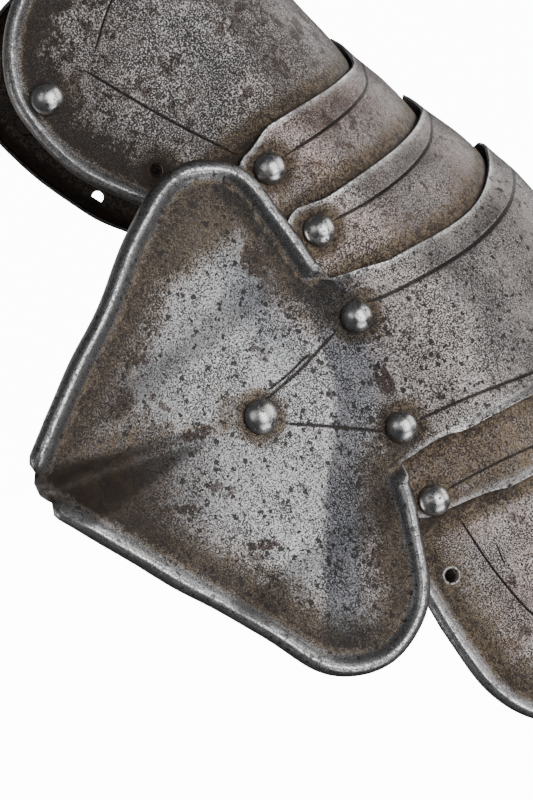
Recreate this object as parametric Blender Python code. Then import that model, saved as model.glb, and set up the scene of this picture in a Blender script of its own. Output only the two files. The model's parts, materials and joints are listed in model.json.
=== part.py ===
"""Right poleyn: steel knee armour of six nested plates that turn on side rivets.

The shin end stands on the ground at z = 0 and the thigh end is up. The front of the knee faces -Y,
and the outer side, which carries the heart-shaped wing, faces -X. Sizes below are in millimetres,
and the meshes are scaled to metres as they are made. In the tables y is 0 at the middle of the leg,
and at the end the whole poleyn moves back, so that the front of its foot stands at the origin.

Each plate is laid out flat first, as its blank would be, and on_plate() bends the blank round the
knee. Across a blank, h is measured from the line where the side wall begins to round: negative to
the rear of it, positive towards the front line. Up the blank, z is the height.
"""

import math

import bmesh
import bpy
import numpy as np
from mathutils import Matrix, Vector

TO_METRES = 0.001
OUTER, INNER = -1, 1  # the leg's two sides, as signs of x

# Driving dimensions
WALL = 1.2  # sheet thickness
GAP = 0.6  # air between two nested plates
NEST = WALL + GAP  # how far each plate lies inside the next one
COP_HALF_WIDTH = 62.0
WALL_START = -36.0  # behind this Y the side walls are flat, and in front of it they round the knee
SHANK_RADIUS = 2.0
PLAY = 0.3  # air round a rivet's shank and under its head
HEAD_RADIUS = 4.6
HEAD_HEIGHT = 3.4
STRAP_HEAD_RADIUS = 4.2
CENTRE_HEAD_RADIUS = 5.0  # the wing's middle rivet is the biggest
BURR_RADIUS = 3.4
BURR_HEIGHT = 0.9
STRAP_HOLE_RADIUS = 1.9
ROUND_SIDES = 12  # facets round a rivet or a hole
DOME_STEPS = 4

# Side rivets on which the plates turn, the outer plate first
PIVOTS = {
    # name: (y, z, outer plate, inner plate)
    "thigh_pivot": (-27.5, 178.8, "upper_lame", "upper_plate"),
    "upper_pivot": (-29.0, 157.0, "middle_lame", "upper_lame"),
    "cop_upper_pivot": (-23.8, 131.3, "knee_cop", "middle_lame"),
    "cop_lower_pivot": (-17.0, 98.7, "knee_cop", "lower_lame"),
    "shin_pivot": (-13.5, 76.2, "lower_lame", "lower_plate"),
}

# How the plates hang together, from the shin up
TURNS_ON = {
    # moving plate: (rivets it turns on, plate that carries it)
    "lower_lame": ("shin_pivot", "lower_plate"),
    "knee_cop": ("cop_lower_pivot", "lower_lame"),
    "middle_lame": ("cop_upper_pivot", "knee_cop"),
    "upper_lame": ("upper_pivot", "middle_lame"),
    "upper_plate": ("thigh_pivot", "upper_lame"),
}

# (y, z) of the strap rivet on each side wall of the upper plate, and of the plates' empty strap holes
STRAP_RIVETS = {OUTER: (13.4, 229.3), INNER: (4.6, 227.0)}
UPPER_STRAP_HOLE = (-1.0, 196.0)
LOWER_STRAP_HOLE = (-6.0, 55.5)

# level: how many plates lie outside it. rows: facets up it. front: (z, y of the front line, flare of
# the half width). bottom, top: (place, z) along the two edges, where place is -1 at the rear edge, 0
# where the side wall begins to round, and 1 at the front line. rear: (z, y) of the rear edge on the
# outer side, and inner_rear on the inner side. corners: radii of the lower and the upper rear corner,
# and inner_corners on the inner side where they differ. turned: size of its turned edge.
PLATES = {
    "upper_plate": {
        "level": 3,
        "rows": 8,
        "front": (
            (172, -74.0, 0.0), (197, -74.6, 0.0), (211, -72.2, 0.0), (240, -66.5, 1.0), (266, -62.5, 2.6),
        ),
        "bottom": ((-1, 170), (0, 171), (0.62, 173), (1, 181)),
        "top": ((-1, 262), (0, 262), (0.62, 264), (1, 266)),
        "rear": ((170, -3.0), (181, 0.5), (197, 11.4), (207, 17.4), (219, 21.4), (228, 22.4), (262, 22.4)),
        "inner_rear": (
            (170, -8.0), (182, -3.0), (193, 4.0), (203, 8.3), (214, 12.0), (226, 15.2), (262, 16.0),
        ),
        "corners": (12.0, 36.0),
        "turned": 0.75,
        "colour": (0.36, 0.34, 0.34),
    },
    "upper_lame": {
        "level": 2,
        "rows": 5,
        "front": (
            (148, -82.6, 0.0), (160, -83.6, 0.0), (171, -82.6, 0.0), (182, -80.4, 0.0), (199, -76.8, 0.0),
        ),
        "bottom": ((-1, 149), (0.62, 149), (1, 156)),
        "top": ((-1, 186), (0, 188.8), (0.45, 187.7), (0.73, 189.2), (0.87, 192.5), (1, 197.5)),
        "rear": ((149, -18.5), (189, -18.5)),
        "inner_rear": ((149, -18.5), (189, -18.5)),
        "corners": (6.0, 7.0),
        "turned": 0.0,
        "colour": (0.36, 0.33, 0.33),
    },
    "middle_lame": {
        "level": 1,
        "rows": 5,
        "front": (
            (120, -92.2, 0.0), (134, -94.2, 0.0), (146, -93.6, 0.0), (160, -89.4, 0.0), (175, -85.2, 0.0),
        ),
        "bottom": ((-1, 123), (0.62, 123), (1, 129)),
        "top": ((-1, 165.5), (0, 163.3), (0.46, 163.4), (0.67, 165), (0.87, 167.3), (1, 171.5)),
        "rear": ((123, -14.5), (140, -17.5), (165, -20.5)),
        "inner_rear": ((123, -14.5), (140, -17.5), (165, -20.5)),
        "corners": (7.0, 7.0),
        "turned": 0.0,
        "colour": (0.37, 0.34, 0.33),
    },
    "knee_cop": {
        "level": 0,
        "rows": 7,
        "front": (
            (70, -94.2, 0.0), (92, -100.2, 0.0), (112, -102.2, 0.0), (137, -99.6, 0.0), (150, -96.6, 0.0),
        ),
        "bottom": ((-1, 90.5), (0, 87.6), (0.62, 77), (1, 70)),
        "top": ((-1, 144.5), (0, 139.2), (0.36, 136.4), (0.62, 141), (0.74, 143.5), (1, 147)),
        "rear": ((90.5, -12.0), (144.5, -23.0)),
        "inner_rear": ((70, -4.0), (150, -4.0)),
        "corners": (20.0, 20.0),
        "turned": 1.0,
        "colour": (0.42, 0.41, 0.41),
    },
    "lower_lame": {
        "level": 1,
        "rows": 5,
        "front": ((50, -86.4, 0.0), (64, -90.0, 0.0), (76, -92.4, 0.0), (92, -93.8, 0.0), (110, -92.0, 0.0)),
        "bottom": ((-1, 72.6), (0, 66.5), (0.62, 58), (1, 51)),
        "top": ((-1, 107), (0, 107), (0.62, 101), (1, 92)),
        "rear": ((68, -4.5), (107, -8.0)),
        "inner_rear": ((68, -4.5), (107, -8.0)),
        "corners": (7.0, 7.0),
        "turned": 0.0,
        "colour": (0.36, 0.33, 0.33),
    },
    "lower_plate": {
        "level": 2,
        "rows": 7,
        "front": ((-2, -81.0, 1.0), (34, -82.0, 0.4), (58, -84.2, 0.0), (72, -85.0, 0.0), (90, -83.0, 0.0)),
        "bottom": ((-1, -2), (1, -2)),
        "top": ((-1, 74), (0, 85), (0.62, 80), (1, 73)),
        "rear": ((-2, 3.8), (60, 3.8), (74, 2.0)),
        "inner_rear": ((-2, -18.0), (60, -18.0), (74, -9.0)),
        "corners": (34.0, 8.0),
        "inner_corners": (16.0, 8.0),
        "turned": 0.75,
        "colour": (0.35, 0.33, 0.32),
    },
}
CORNER_STEPS = 4  # facets round a rear corner
ROUND_STEPS = 10  # facets from a rear corner to the front line

# The wing: its hub, where its fold begins, and its rivet, then its outline as (y, z), up from the waist's
# low end
WING_HUB = (16.8, 125.8)
WING_RIVET = (15.4, 124.4)
LOWER_LOBE = (
    (-12.0, 90.5), (-6.5, 76.0), (8.0, 52.0), (23.5, 47.3), (39.8, 55.0), (51.0, 77.0), (60.5, 96.3),
    (80.0, 137.0),
)
MOUTH = ((78.2, 143.6),)  # the open rear end of the fold, between the lobes
UPPER_LOBE = (
    (79.5, 150.5), (55.5, 165.5), (33.0, 178.0), (17.0, 188.0), (-5.5, 194.4), (-18.5, 186.0),
    (-22.0, 166.0), (-23.0, 144.5),
)
LOBE_STEPS = 14
WING_RINGS = 4
FLARE_SLOPE = 0.24  # slope at which the wing stands off behind the waist
FLARE_START = 14.0  # the distance over which that slope begins
LOBE_LIFT = 5.5  # both lobes stand this much further off, clear of the plates beneath
LOBE_RISE = 12.0
FOLD_DEPTH = 6.0  # V-shaped fold from the hub to the rear corner
FOLD_START = 8.0  # its distance from the hub, and its depth is measured at its end
FOLD_END = 66.0
FOLD_RAYS = (21.0, 15.0, 2.0)  # its upper lip, bottom and lower lip, as angles at the hub

# The turned edge, at size 1: (outward, off the surface) steps from the end of the plain sheet, over the
# ridge to the cut edge, and back along the metal's other face
TURN_OUT = ((1.8, 0.3), (3.2, 1.6), (4.6, 2.5), (5.9, 2.0), (6.8, 0.5), (7.3, -1.2), (7.4, -2.6))
TURN_BACK = ((6.2, -2.6), (6.1, -1.1), (5.4, 0.6), (4.6, 1.2), (3.7, 0.6), (2.2, -0.9))
TURN_REACH = 7.4
MOUTH_TURN = 0.6  # the turned edge is flattened where the fold runs out
TURN_START = (0.0, 0.3, 0.7)  # a turned edge grows to its full size over these first points

RIVET_COLOUR = (0.48, 0.47, 0.46)


def curve(table, at, column=1):
    """Reads a smooth curve through a table whose first column rises."""
    places = np.array([row[0] for row in table], float)
    values = np.array([row[column] for row in table], float)
    at = np.clip(np.asarray(at, float), places[0], places[-1])
    slopes = np.gradient(values, places)
    low = np.clip(np.searchsorted(places, at, side="right") - 1, 0, len(places) - 2)
    width = places[low + 1] - places[low]
    t = (at - places[low]) / width
    ends = (1 + 2 * t) * (1 - t) ** 2 * values[low] + t * t * (3 - 2 * t) * values[low + 1]
    return ends + width * t * (1 - t) * ((1 - t) * slopes[low] - t * slopes[low + 1])


def smooth_path(points, steps):
    """Evenly spaced points along a smooth path through the given ones."""
    points = np.array(points, float)
    along = np.concatenate([[0], np.cumsum(np.linalg.norm(np.diff(points, axis=0), axis=1))])
    rows = np.column_stack([along, points])
    at = np.linspace(0, along[-1], steps + 1)
    return np.column_stack([curve(rows, at, 1), curve(rows, at, 2)])


def eased(distance, start):
    """A straight rise of slope 1 that begins softly at zero."""
    distance = np.maximum(distance, 0)
    return distance * distance / (distance + start)


def levelling(distance, rise):
    """A soft step from 0 to 1."""
    distance = np.maximum(distance, 0)
    return distance**2 / (distance**2 + rise**2)


def wing_flare(y, z):
    """How far the wing stands off the plane of the cop's side wall."""
    (low_z, low_y), (top_z, top_y) = PLATES["knee_cop"]["rear"]
    waist_y = low_y + (z - low_z) * (top_y - low_y) / (top_z - low_z)
    rise = FLARE_SLOPE * eased(y - waist_y, FLARE_START)
    rise = rise + LOBE_LIFT * (levelling(z - top_z, LOBE_RISE) + levelling(low_z - z, LOBE_RISE))
    angle = np.degrees(np.arctan2(z - WING_HUB[1], y - WING_HUB[0]))
    upper, bottom, lower = FOLD_RAYS
    valley = np.clip(np.minimum((upper - angle) / (upper - bottom), (angle - lower) / (bottom - lower)), 0, 1)
    from_hub = np.maximum(np.hypot(y - WING_HUB[0], z - WING_HUB[1]) - FOLD_START, 0)
    return rise - FOLD_DEPTH * valley * from_hub / (FOLD_END - FOLD_START)


def front_depth(name, z):
    return WALL_START - curve(PLATES[name]["front"], z)


def front_line(name, z):
    """h of the front line at this height."""
    return front_depth(name, z) * math.pi / 2


def on_plate(name, h, z, lift=0.0, side=OUTER):
    """Bends points of the flat blank round the knee, and lifts them off the plate's outer face."""
    h, z, lift = np.broadcast_arrays(np.asarray(h, float), np.asarray(z, float), lift)
    depth = front_depth(name, z)
    width = COP_HALF_WIDTH - NEST * PLATES[name]["level"] + curve(PLATES[name]["front"], z, 2)
    angle = np.clip(h / depth, 0, math.pi / 2)
    x, y = width * np.cos(angle), WALL_START - depth * np.sin(angle) - np.minimum(h, 0)
    out_x, out_y = np.cos(angle) / width, np.sin(angle) / depth
    length = np.hypot(out_x, out_y)
    if name == "knee_cop" and side == OUTER:
        x = x + np.where(h < 0, wing_flare(y, z), 0)
    return np.stack([side * (x + lift * out_x / length), y - lift * out_y / length, z], axis=-1)


def corner_rise(radius, distance):
    """How far a round corner draws the edge in, at this distance from the rear edge."""
    short = max(radius - distance, 0)
    return radius - math.sqrt(radius * radius - short * short)


def half_blank(name, side, corners, reach=0.0, top_reach=0.0):
    """The blank from a rear edge to the front line, as h and z of each [row][column]. Its turned edges
    are drawn in by their reach."""
    plate = PLATES[name]
    low_radius, top_radius = [max(radius - reach, 0) for radius in corners]
    bottom, top = plate["bottom"], plate["top"]
    up = np.linspace(0, 1, plate["rows"] + 1)
    widest = max(low_radius, top_radius)
    angles = np.linspace(0, math.pi / 2, CORNER_STEPS + 1)
    rear = plate["rear" if side == OUTER else "inner_rear"]
    columns = []
    for distance in widest * (1 - np.cos(angles)) if widest else [0.0]:
        low_z = bottom[0][1] + corner_rise(low_radius, distance)
        top_z = top[0][1] - top_reach - corner_rise(top_radius, distance)
        z = low_z + (top_z - low_z) * up
        columns.append((WALL_START - curve(rear, z) + reach + distance, z))
    start_h, start_z = columns[-1]
    for share in np.linspace(0, 1, ROUND_STEPS + 1)[1:]:
        middle = start_h.mean() * (1 - share) + front_line(name, start_z.mean()) * share
        place = middle / (abs(start_h.mean()) if middle < 0 else front_line(name, start_z.mean()))
        z = curve(bottom, place) + (curve(top, place) - top_reach - curve(bottom, place)) * up
        columns.append((start_h * (1 - share) + front_line(name, z) * share, z))
    h, z = np.array(columns).transpose(1, 2, 0)
    return h, z


def edge_section(path, size):
    """The edge of the metal along a path of (h, z, turn) points, outwards on the path's left: h, z and
    lift of each [step][point]. A turn of 0 is a plain cut edge, and a turn of 1 is the full turned edge."""
    path = np.array(path, float)
    ahead = np.gradient(path[:, :2], axis=0)
    ahead /= np.linalg.norm(ahead, axis=1)[:, None]
    turn = path[:, 2]
    steps = []
    for number, (out, lift) in enumerate(TURN_OUT + TURN_BACK):
        plain_lift = 0 if number < len(TURN_OUT) else -WALL
        reach = turn * size * out
        steps.append((path[:, 0] - ahead[:, 1] * reach, path[:, 1] + ahead[:, 0] * reach,
                      turn * size * lift + (1 - turn) * plain_lift))
    steps.insert(0, (path[:, 0], path[:, 1], 0 * turn))
    steps.append((path[:, 0], path[:, 1], 0 * turn - WALL))
    return np.array(steps).transpose(1, 0, 2)


def turns(count, start=True, end=True):
    """How far the edge is turned at each point of a path: the turned edge fades out at its ends."""
    full = np.ones(count)
    if start:
        full[: len(TURN_START)] = TURN_START
    if end:
        full[-len(TURN_START) :] = TURN_START[::-1]
    return full


def add_grid(mesh, points, flip=False):
    """Adds a sheet of quads through the [row][column] points."""
    rows, columns = points.shape[:2]
    vertices = [mesh.verts.new(Vector(point) * TO_METRES) for point in points.reshape(-1, 3)]
    for row in range(rows - 1):
        for column in range(columns - 1):
            first = row * columns + column
            corners = [first, first + 1, first + columns + 1, first + columns]
            mesh.faces.new([vertices[corner] for corner in (corners[::-1] if flip else corners)])


def steel(name, colour):
    material = bpy.data.materials.new(name)
    material.use_nodes = True
    shader = material.node_tree.nodes["Principled BSDF"]
    shader.inputs["Base Color"].default_value = (*colour, 1)
    shader.inputs["Metallic"].default_value = 1.0
    shader.inputs["Roughness"].default_value = 0.42
    return material


def object_from(name, mesh, material=None):
    data = bpy.data.meshes.new(name)
    mesh.to_mesh(data)
    mesh.free()
    data.shade_smooth()
    data.set_sharp_from_angle(angle=math.radians(35))
    made = bpy.data.objects.new(name, data)
    bpy.context.scene.collection.objects.link(made)
    if material:
        data.materials.append(material)
    return made


def cutter(name, mesh):
    made = object_from(name, mesh)
    made.hide_render = True
    made.display_type = "WIRE"
    return made


def frame_at(name, y, z, side):
    """A matrix at a point of a plate's outer face, with its Z axis straight out of the metal."""
    h = WALL_START - y
    here, behind, above = [
        on_plate(name, h + dh, z + dz, 0.0, side) for dh, dz in ((0, 0), (-0.5, 0), (0, 0.5))
    ]
    out = Vector(behind - here).cross(Vector(above - here)).normalized()
    out = out if out.x * side > 0 else -out
    return Matrix.Translation(Vector(here) * TO_METRES) @ out.to_track_quat("Z", "Y").to_matrix().to_4x4()


def holes_of(name):
    """(y, z, radius, sides) of each round hole through a plate."""
    shank = SHANK_RADIUS + PLAY
    found = [(y, z, shank, (OUTER, INNER)) for y, z, *plates in PIVOTS.values() if name in plates]
    if name == "upper_plate":
        found += [(*place, shank, (side,)) for side, place in STRAP_RIVETS.items()]
        found.append((*UPPER_STRAP_HOLE, STRAP_HOLE_RADIUS, (OUTER, INNER)))
    if name == "lower_plate":
        found.append((*LOWER_STRAP_HOLE, STRAP_HOLE_RADIUS, (OUTER, INNER)))
    if name == "knee_cop":
        found.append((*WING_RIVET, shank, (OUTER,)))
    return found


def pierce(plate, name):
    mesh = bmesh.new()
    for y, z, radius, sides in holes_of(name):
        for side in sides:
            bmesh.ops.create_cone(
                mesh,
                cap_ends=True,
                segments=ROUND_SIDES,
                radius1=radius * TO_METRES,
                radius2=radius * TO_METRES,
                depth=10 * WALL * TO_METRES,
                matrix=frame_at(name, y, z, side),
            )
    tool = cutter(name + "_holes", mesh)
    cut(plate, tool)
    hang(tool, name)


def cut(plate, tool):
    modifier = plate.modifiers.new(tool.name, "BOOLEAN")
    modifier.operation = "DIFFERENCE"
    modifier.solver = "EXACT"
    modifier.object = tool


def add_half(mesh, name, sheets, edge, side=OUTER):
    """Adds one half of a plate: both faces of its sheets, and the metal's edge along the path."""
    flip = side == INNER
    for h, z in sheets:
        add_grid(mesh, on_plate(name, h, z, 0, side), flip)
        add_grid(mesh, on_plate(name, h, z, -WALL, side), not flip)
    add_grid(mesh, on_plate(name, *edge_section(edge, PLATES[name]["turned"]), side), flip)


def free_edge(h, z, rear_edge=None):
    """The path of a half's free edge, from the front line along the bottom, up the rear, and back along
    the top. The rear edge may be another path than the sheet's own."""
    if rear_edge is None:
        rear_edge = np.column_stack([h[1:-1, 0], z[1:-1, 0], np.zeros(len(h) - 2)])
    bottom = np.column_stack([h[0, ::-1], z[0, ::-1], np.zeros(h.shape[1])])
    top = np.column_stack([h[-1], z[-1], np.zeros(h.shape[1])])
    return np.vstack([bottom, rear_edge, top])


def turning_point(name):
    """Where the axis a plate turns on crosses the middle of the leg, in metres. It is the plate's origin."""
    if name not in TURNS_ON:
        return Vector((0, 0, 0))
    y, z, *_ = PIVOTS[TURNS_ON[name][0]]
    return Vector((0, y, z)) * TO_METRES


def hang(child, name):
    """Makes a child turn with a plate, and leaves it where it is."""
    child.parent = bpy.data.objects[name]
    child.matrix_parent_inverse = Matrix.Translation(-turning_point(name))


def finished(name, mesh):
    bmesh.ops.remove_doubles(mesh, verts=mesh.verts, dist=0.00001)
    bmesh.ops.translate(mesh, verts=mesh.verts, vec=-turning_point(name))
    made = object_from(name, mesh, steel(name + "_steel", PLATES[name]["colour"]))
    made.data.validate()
    made.location = turning_point(name)
    return made


def side_edge(name, side):
    """One half of a plain plate: its blank, and the path of its free edge with how far it is turned."""
    plate = PLATES[name]
    reach = TURN_REACH * plate["turned"]
    top_turned = name == "upper_plate"
    corners = plate["inner_corners" if side == INNER and "inner_corners" in plate else "corners"]
    h, z = half_blank(name, side, corners, reach, reach if top_turned else 0)
    edge = free_edge(h, z)
    columns, side_points = h.shape[1], h.shape[0] - 2
    if top_turned:
        edge[columns:, 2] = turns(len(edge) - columns, end=False)
    elif plate["turned"]:
        turned = slice(columns - CORNER_STEPS - 1, columns + side_points)
        edge[turned, 2] = turns(CORNER_STEPS + 1 + side_points)
    return h, z, edge


def plain_plate(name):
    mesh = bmesh.new()
    for side in (OUTER, INNER):
        h, z, edge = side_edge(name, side)
        add_half(mesh, name, [(h, z)], edge, side)
    return finished(name, mesh)


def wing_outline():
    """(h, z, turn) of the plain sheet's edge inside the wing's turned edge, from the waist's low end
    round to its top."""
    lobes = [smooth_path(LOWER_LOBE, LOBE_STEPS), np.array(MOUTH), smooth_path(UPPER_LOBE, LOBE_STEPS)]
    edge = np.vstack(lobes)
    flattened = np.full(len(MOUTH), MOUTH_TURN)
    turned = [turns(len(lobes[0]), end=False), flattened, turns(len(lobes[2]), start=False)]
    turned = np.concatenate(turned)
    ahead = np.gradient(edge, axis=0)
    ahead /= np.linalg.norm(ahead, axis=1)[:, None]
    inward = np.column_stack([-ahead[:, 1], ahead[:, 0]])
    edge = edge + inward * (TURN_REACH * turned)[:, None]
    return np.column_stack([WALL_START - edge[:, 0], edge[:, 1], turned])


def knee_cop():
    """The cop, which covers the knee, and the wing on its outer side: one piece of steel."""
    name = "knee_cop"
    h, z = half_blank(name, OUTER, (0, 0))
    outline = wing_outline()
    waist = np.column_stack([h[::-1, 0], z[::-1, 0]])
    loop = np.vstack([outline[:, :2], waist[1:]])
    hub = np.array([WALL_START - WING_HUB[0], WING_HUB[1]])
    rings = hub + (loop - hub) * np.linspace(0, 1, WING_RINGS + 1)[:, None, None]
    mesh = bmesh.new()
    add_half(mesh, name, [(h, z), (rings[..., 0], rings[..., 1])], free_edge(h, z, outline[1:-1]))
    far_h, far_z = half_blank(name, INNER, PLATES[name]["corners"])
    add_half(mesh, name, [(far_h, far_z)], free_edge(far_h, far_z), INNER)
    return finished(name, mesh)


def stand(plate):
    """Cuts away what lies below the ground, so that the poleyn stands on a flat edge, and moves the
    middle of that edge's front to the origin."""
    mesh = bmesh.new()
    bmesh.ops.create_cube(mesh, size=0.3, matrix=Matrix.Translation((0, 0, -0.15)))
    ground = cutter("ground", mesh)
    cut(plate, ground)
    hang(ground, plate.name)
    plate.location.y = -(float(curve(PLATES[plate.name]["front"], 0)) + WALL / 2) * TO_METRES


def rivet(name, plate, y, z, side, sheets, radius, material):
    """A domed rivet set in a plate's outer face: its head, its shank through one or two sheets, and the
    burr it is closed over."""
    grip = PLAY + WALL + (sheets - 1) * NEST + PLAY
    profile = [(radius * math.cos(a), HEAD_HEIGHT * math.sin(a) + PLAY) for a in
               np.linspace(math.pi / 2, 0, DOME_STEPS + 1)]
    base = PLAY - grip
    profile += [(SHANK_RADIUS, PLAY), (SHANK_RADIUS, base), (BURR_RADIUS, base)]
    profile += [(BURR_RADIUS, base - BURR_HEIGHT), (0, base - BURR_HEIGHT)]
    profile[0] = (0, HEAD_HEIGHT + PLAY)
    mesh = bmesh.new()
    points = [mesh.verts.new((x * TO_METRES, 0, z * TO_METRES)) for x, z in profile]
    edges = [mesh.edges.new(pair) for pair in zip(points, points[1:])]
    bmesh.ops.spin(mesh, geom=points + edges, axis=(0, 0, 1), cent=(0, 0, 0), angle=2 * math.pi,
                   steps=ROUND_SIDES, use_merge=True)
    bmesh.ops.remove_doubles(mesh, verts=mesh.verts, dist=0.00001)
    bmesh.ops.recalc_face_normals(mesh, faces=mesh.faces)
    made = object_from(name, mesh, material)
    made.matrix_world = frame_at(plate, y, z, side)
    hang(made, plate)


def rivets():
    material = steel("rivet_steel", RIVET_COLOUR)
    for side, where in ((OUTER, "outer"), (INNER, "inner")):
        for label, (y, z, plate, _) in PIVOTS.items():
            rivet(f"{label}_{where}", plate, y, z, side, 2, HEAD_RADIUS, material)
        y, z = STRAP_RIVETS[side]
        rivet(f"strap_rivet_{where}", "upper_plate", y, z, side, 1, STRAP_HEAD_RADIUS, material)
    rivet("wing_rivet", "knee_cop", *WING_RIVET, OUTER, 1, CENTRE_HEAD_RADIUS, material)


def main():
    for old in list(bpy.data.objects):
        bpy.data.objects.remove(old)
    for name in PLATES:
        plate = knee_cop() if name == "knee_cop" else plain_plate(name)
        pierce(plate, name)
    for name, (_, carrier) in TURNS_ON.items():
        hang(bpy.data.objects[name], carrier)
    rivets()
    stand(bpy.data.objects["lower_plate"])


main()
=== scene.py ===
"""Right poleyn: worn, pitted steel knee armour with a heart-shaped wing.

The plates are laid out flat, as their blanks would be, cut out with their holes and incised lines, and
then bent round the knee. Lengths in the tables are millimetres, with y = 0 at the middle of the leg.
"""

import json
import math

import bmesh
import bpy
import numpy as np
from bpy.props import FloatProperty, FloatVectorProperty, PointerProperty
from mathutils import Matrix, Vector
from mathutils.geometry import delaunay_2d_cdt


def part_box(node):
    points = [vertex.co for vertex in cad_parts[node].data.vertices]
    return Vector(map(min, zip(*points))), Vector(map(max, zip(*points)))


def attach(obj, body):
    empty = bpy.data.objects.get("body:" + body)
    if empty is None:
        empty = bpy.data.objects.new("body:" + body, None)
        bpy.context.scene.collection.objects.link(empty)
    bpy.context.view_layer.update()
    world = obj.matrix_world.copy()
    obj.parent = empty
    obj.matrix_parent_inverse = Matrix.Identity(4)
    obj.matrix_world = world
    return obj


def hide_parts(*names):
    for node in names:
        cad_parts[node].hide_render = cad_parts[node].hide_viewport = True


bl_info = {
    "name": "Right poleyn",
    "version": (1, 0, 0),
    "blender": (4, 5, 0),
    "location": "View3D > Sidebar > Poleyn",
    "description": "Builds a worn steel poleyn with its lames, wing and rivets",
    "category": "Object",
}

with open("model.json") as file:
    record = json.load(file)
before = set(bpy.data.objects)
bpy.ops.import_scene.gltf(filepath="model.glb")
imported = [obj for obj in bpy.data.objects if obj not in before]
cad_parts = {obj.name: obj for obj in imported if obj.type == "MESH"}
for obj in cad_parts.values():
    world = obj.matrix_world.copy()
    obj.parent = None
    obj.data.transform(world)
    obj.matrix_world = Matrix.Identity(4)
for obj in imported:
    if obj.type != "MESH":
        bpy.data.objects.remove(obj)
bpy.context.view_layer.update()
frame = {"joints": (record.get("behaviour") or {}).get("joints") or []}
JOINTS = {joint["name"]: Vector(joint["pos_m"]) for joint in frame["joints"]}

TO_METRES = 0.001
OUTER, INNER = -1, 1  # the leg's two sides, as signs of x

# Sheet and nesting
WALL = 1.2  # sheet thickness
NEST = 1.8  # how far each plate lies inside the next one
COP_HALF_WIDTH = 62.0
WALL_START = -36.0  # behind this y the side walls are flat, and in front of it they round the knee
SIDE_LENGTH = 40.0  # how far the places along a plate's edges reach behind it

# Rivets, the outer plate of each first
PIVOTS = {
    # name: (y, z, outer plate, inner plate)
    "thigh_pivot": (-27.5, 178.8, "upper_lame", "upper_plate"),
    "upper_pivot": (-29.0, 157.0, "middle_lame", "upper_lame"),
    "cop_upper_pivot": (-23.8, 131.3, "knee_cop", "middle_lame"),
    "cop_lower_pivot": (-17.0, 98.7, "knee_cop", "lower_lame"),
    "shin_pivot": (-13.5, 76.2, "lower_lame", "lower_plate"),
}
STRAP_RIVETS = {OUTER: (13.4, 229.3), INNER: (4.6, 227.0)}
UPPER_STRAP_HOLE = (-1.0, 196.0)
LOWER_STRAP_HOLE = (-6.0, 55.5)
STRAP_HOLE_RADIUS = 1.9
SHANK_RADIUS = 2.0
PLAY = 0.3  # air round a rivet's shank and under its head
HEAD_RADIUS = 4.6
STRAP_HEAD_RADIUS = 4.7
WING_HEAD_RADIUS = 5.0
RIVET_SIZES = {
    "Head Height": 3.4,
    "Shank Radius": SHANK_RADIUS,
    "Burr Radius": 3.4,
    "Air": PLAY,
    "Wear": 0.35,
}
BURR_DEPTH = 0.9
SHANK_IN_HEAD = 0.8  # how far the shank reaches into its head
WEAR_SCALE, WEAR_LEVEL = 330.0, 0.62  # grain of the heads' wear, and the level above which it stands out
LEG_MIDDLE = JOINTS["shin_hinge"].y / TO_METRES - PIVOTS["shin_pivot"][0]

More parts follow.
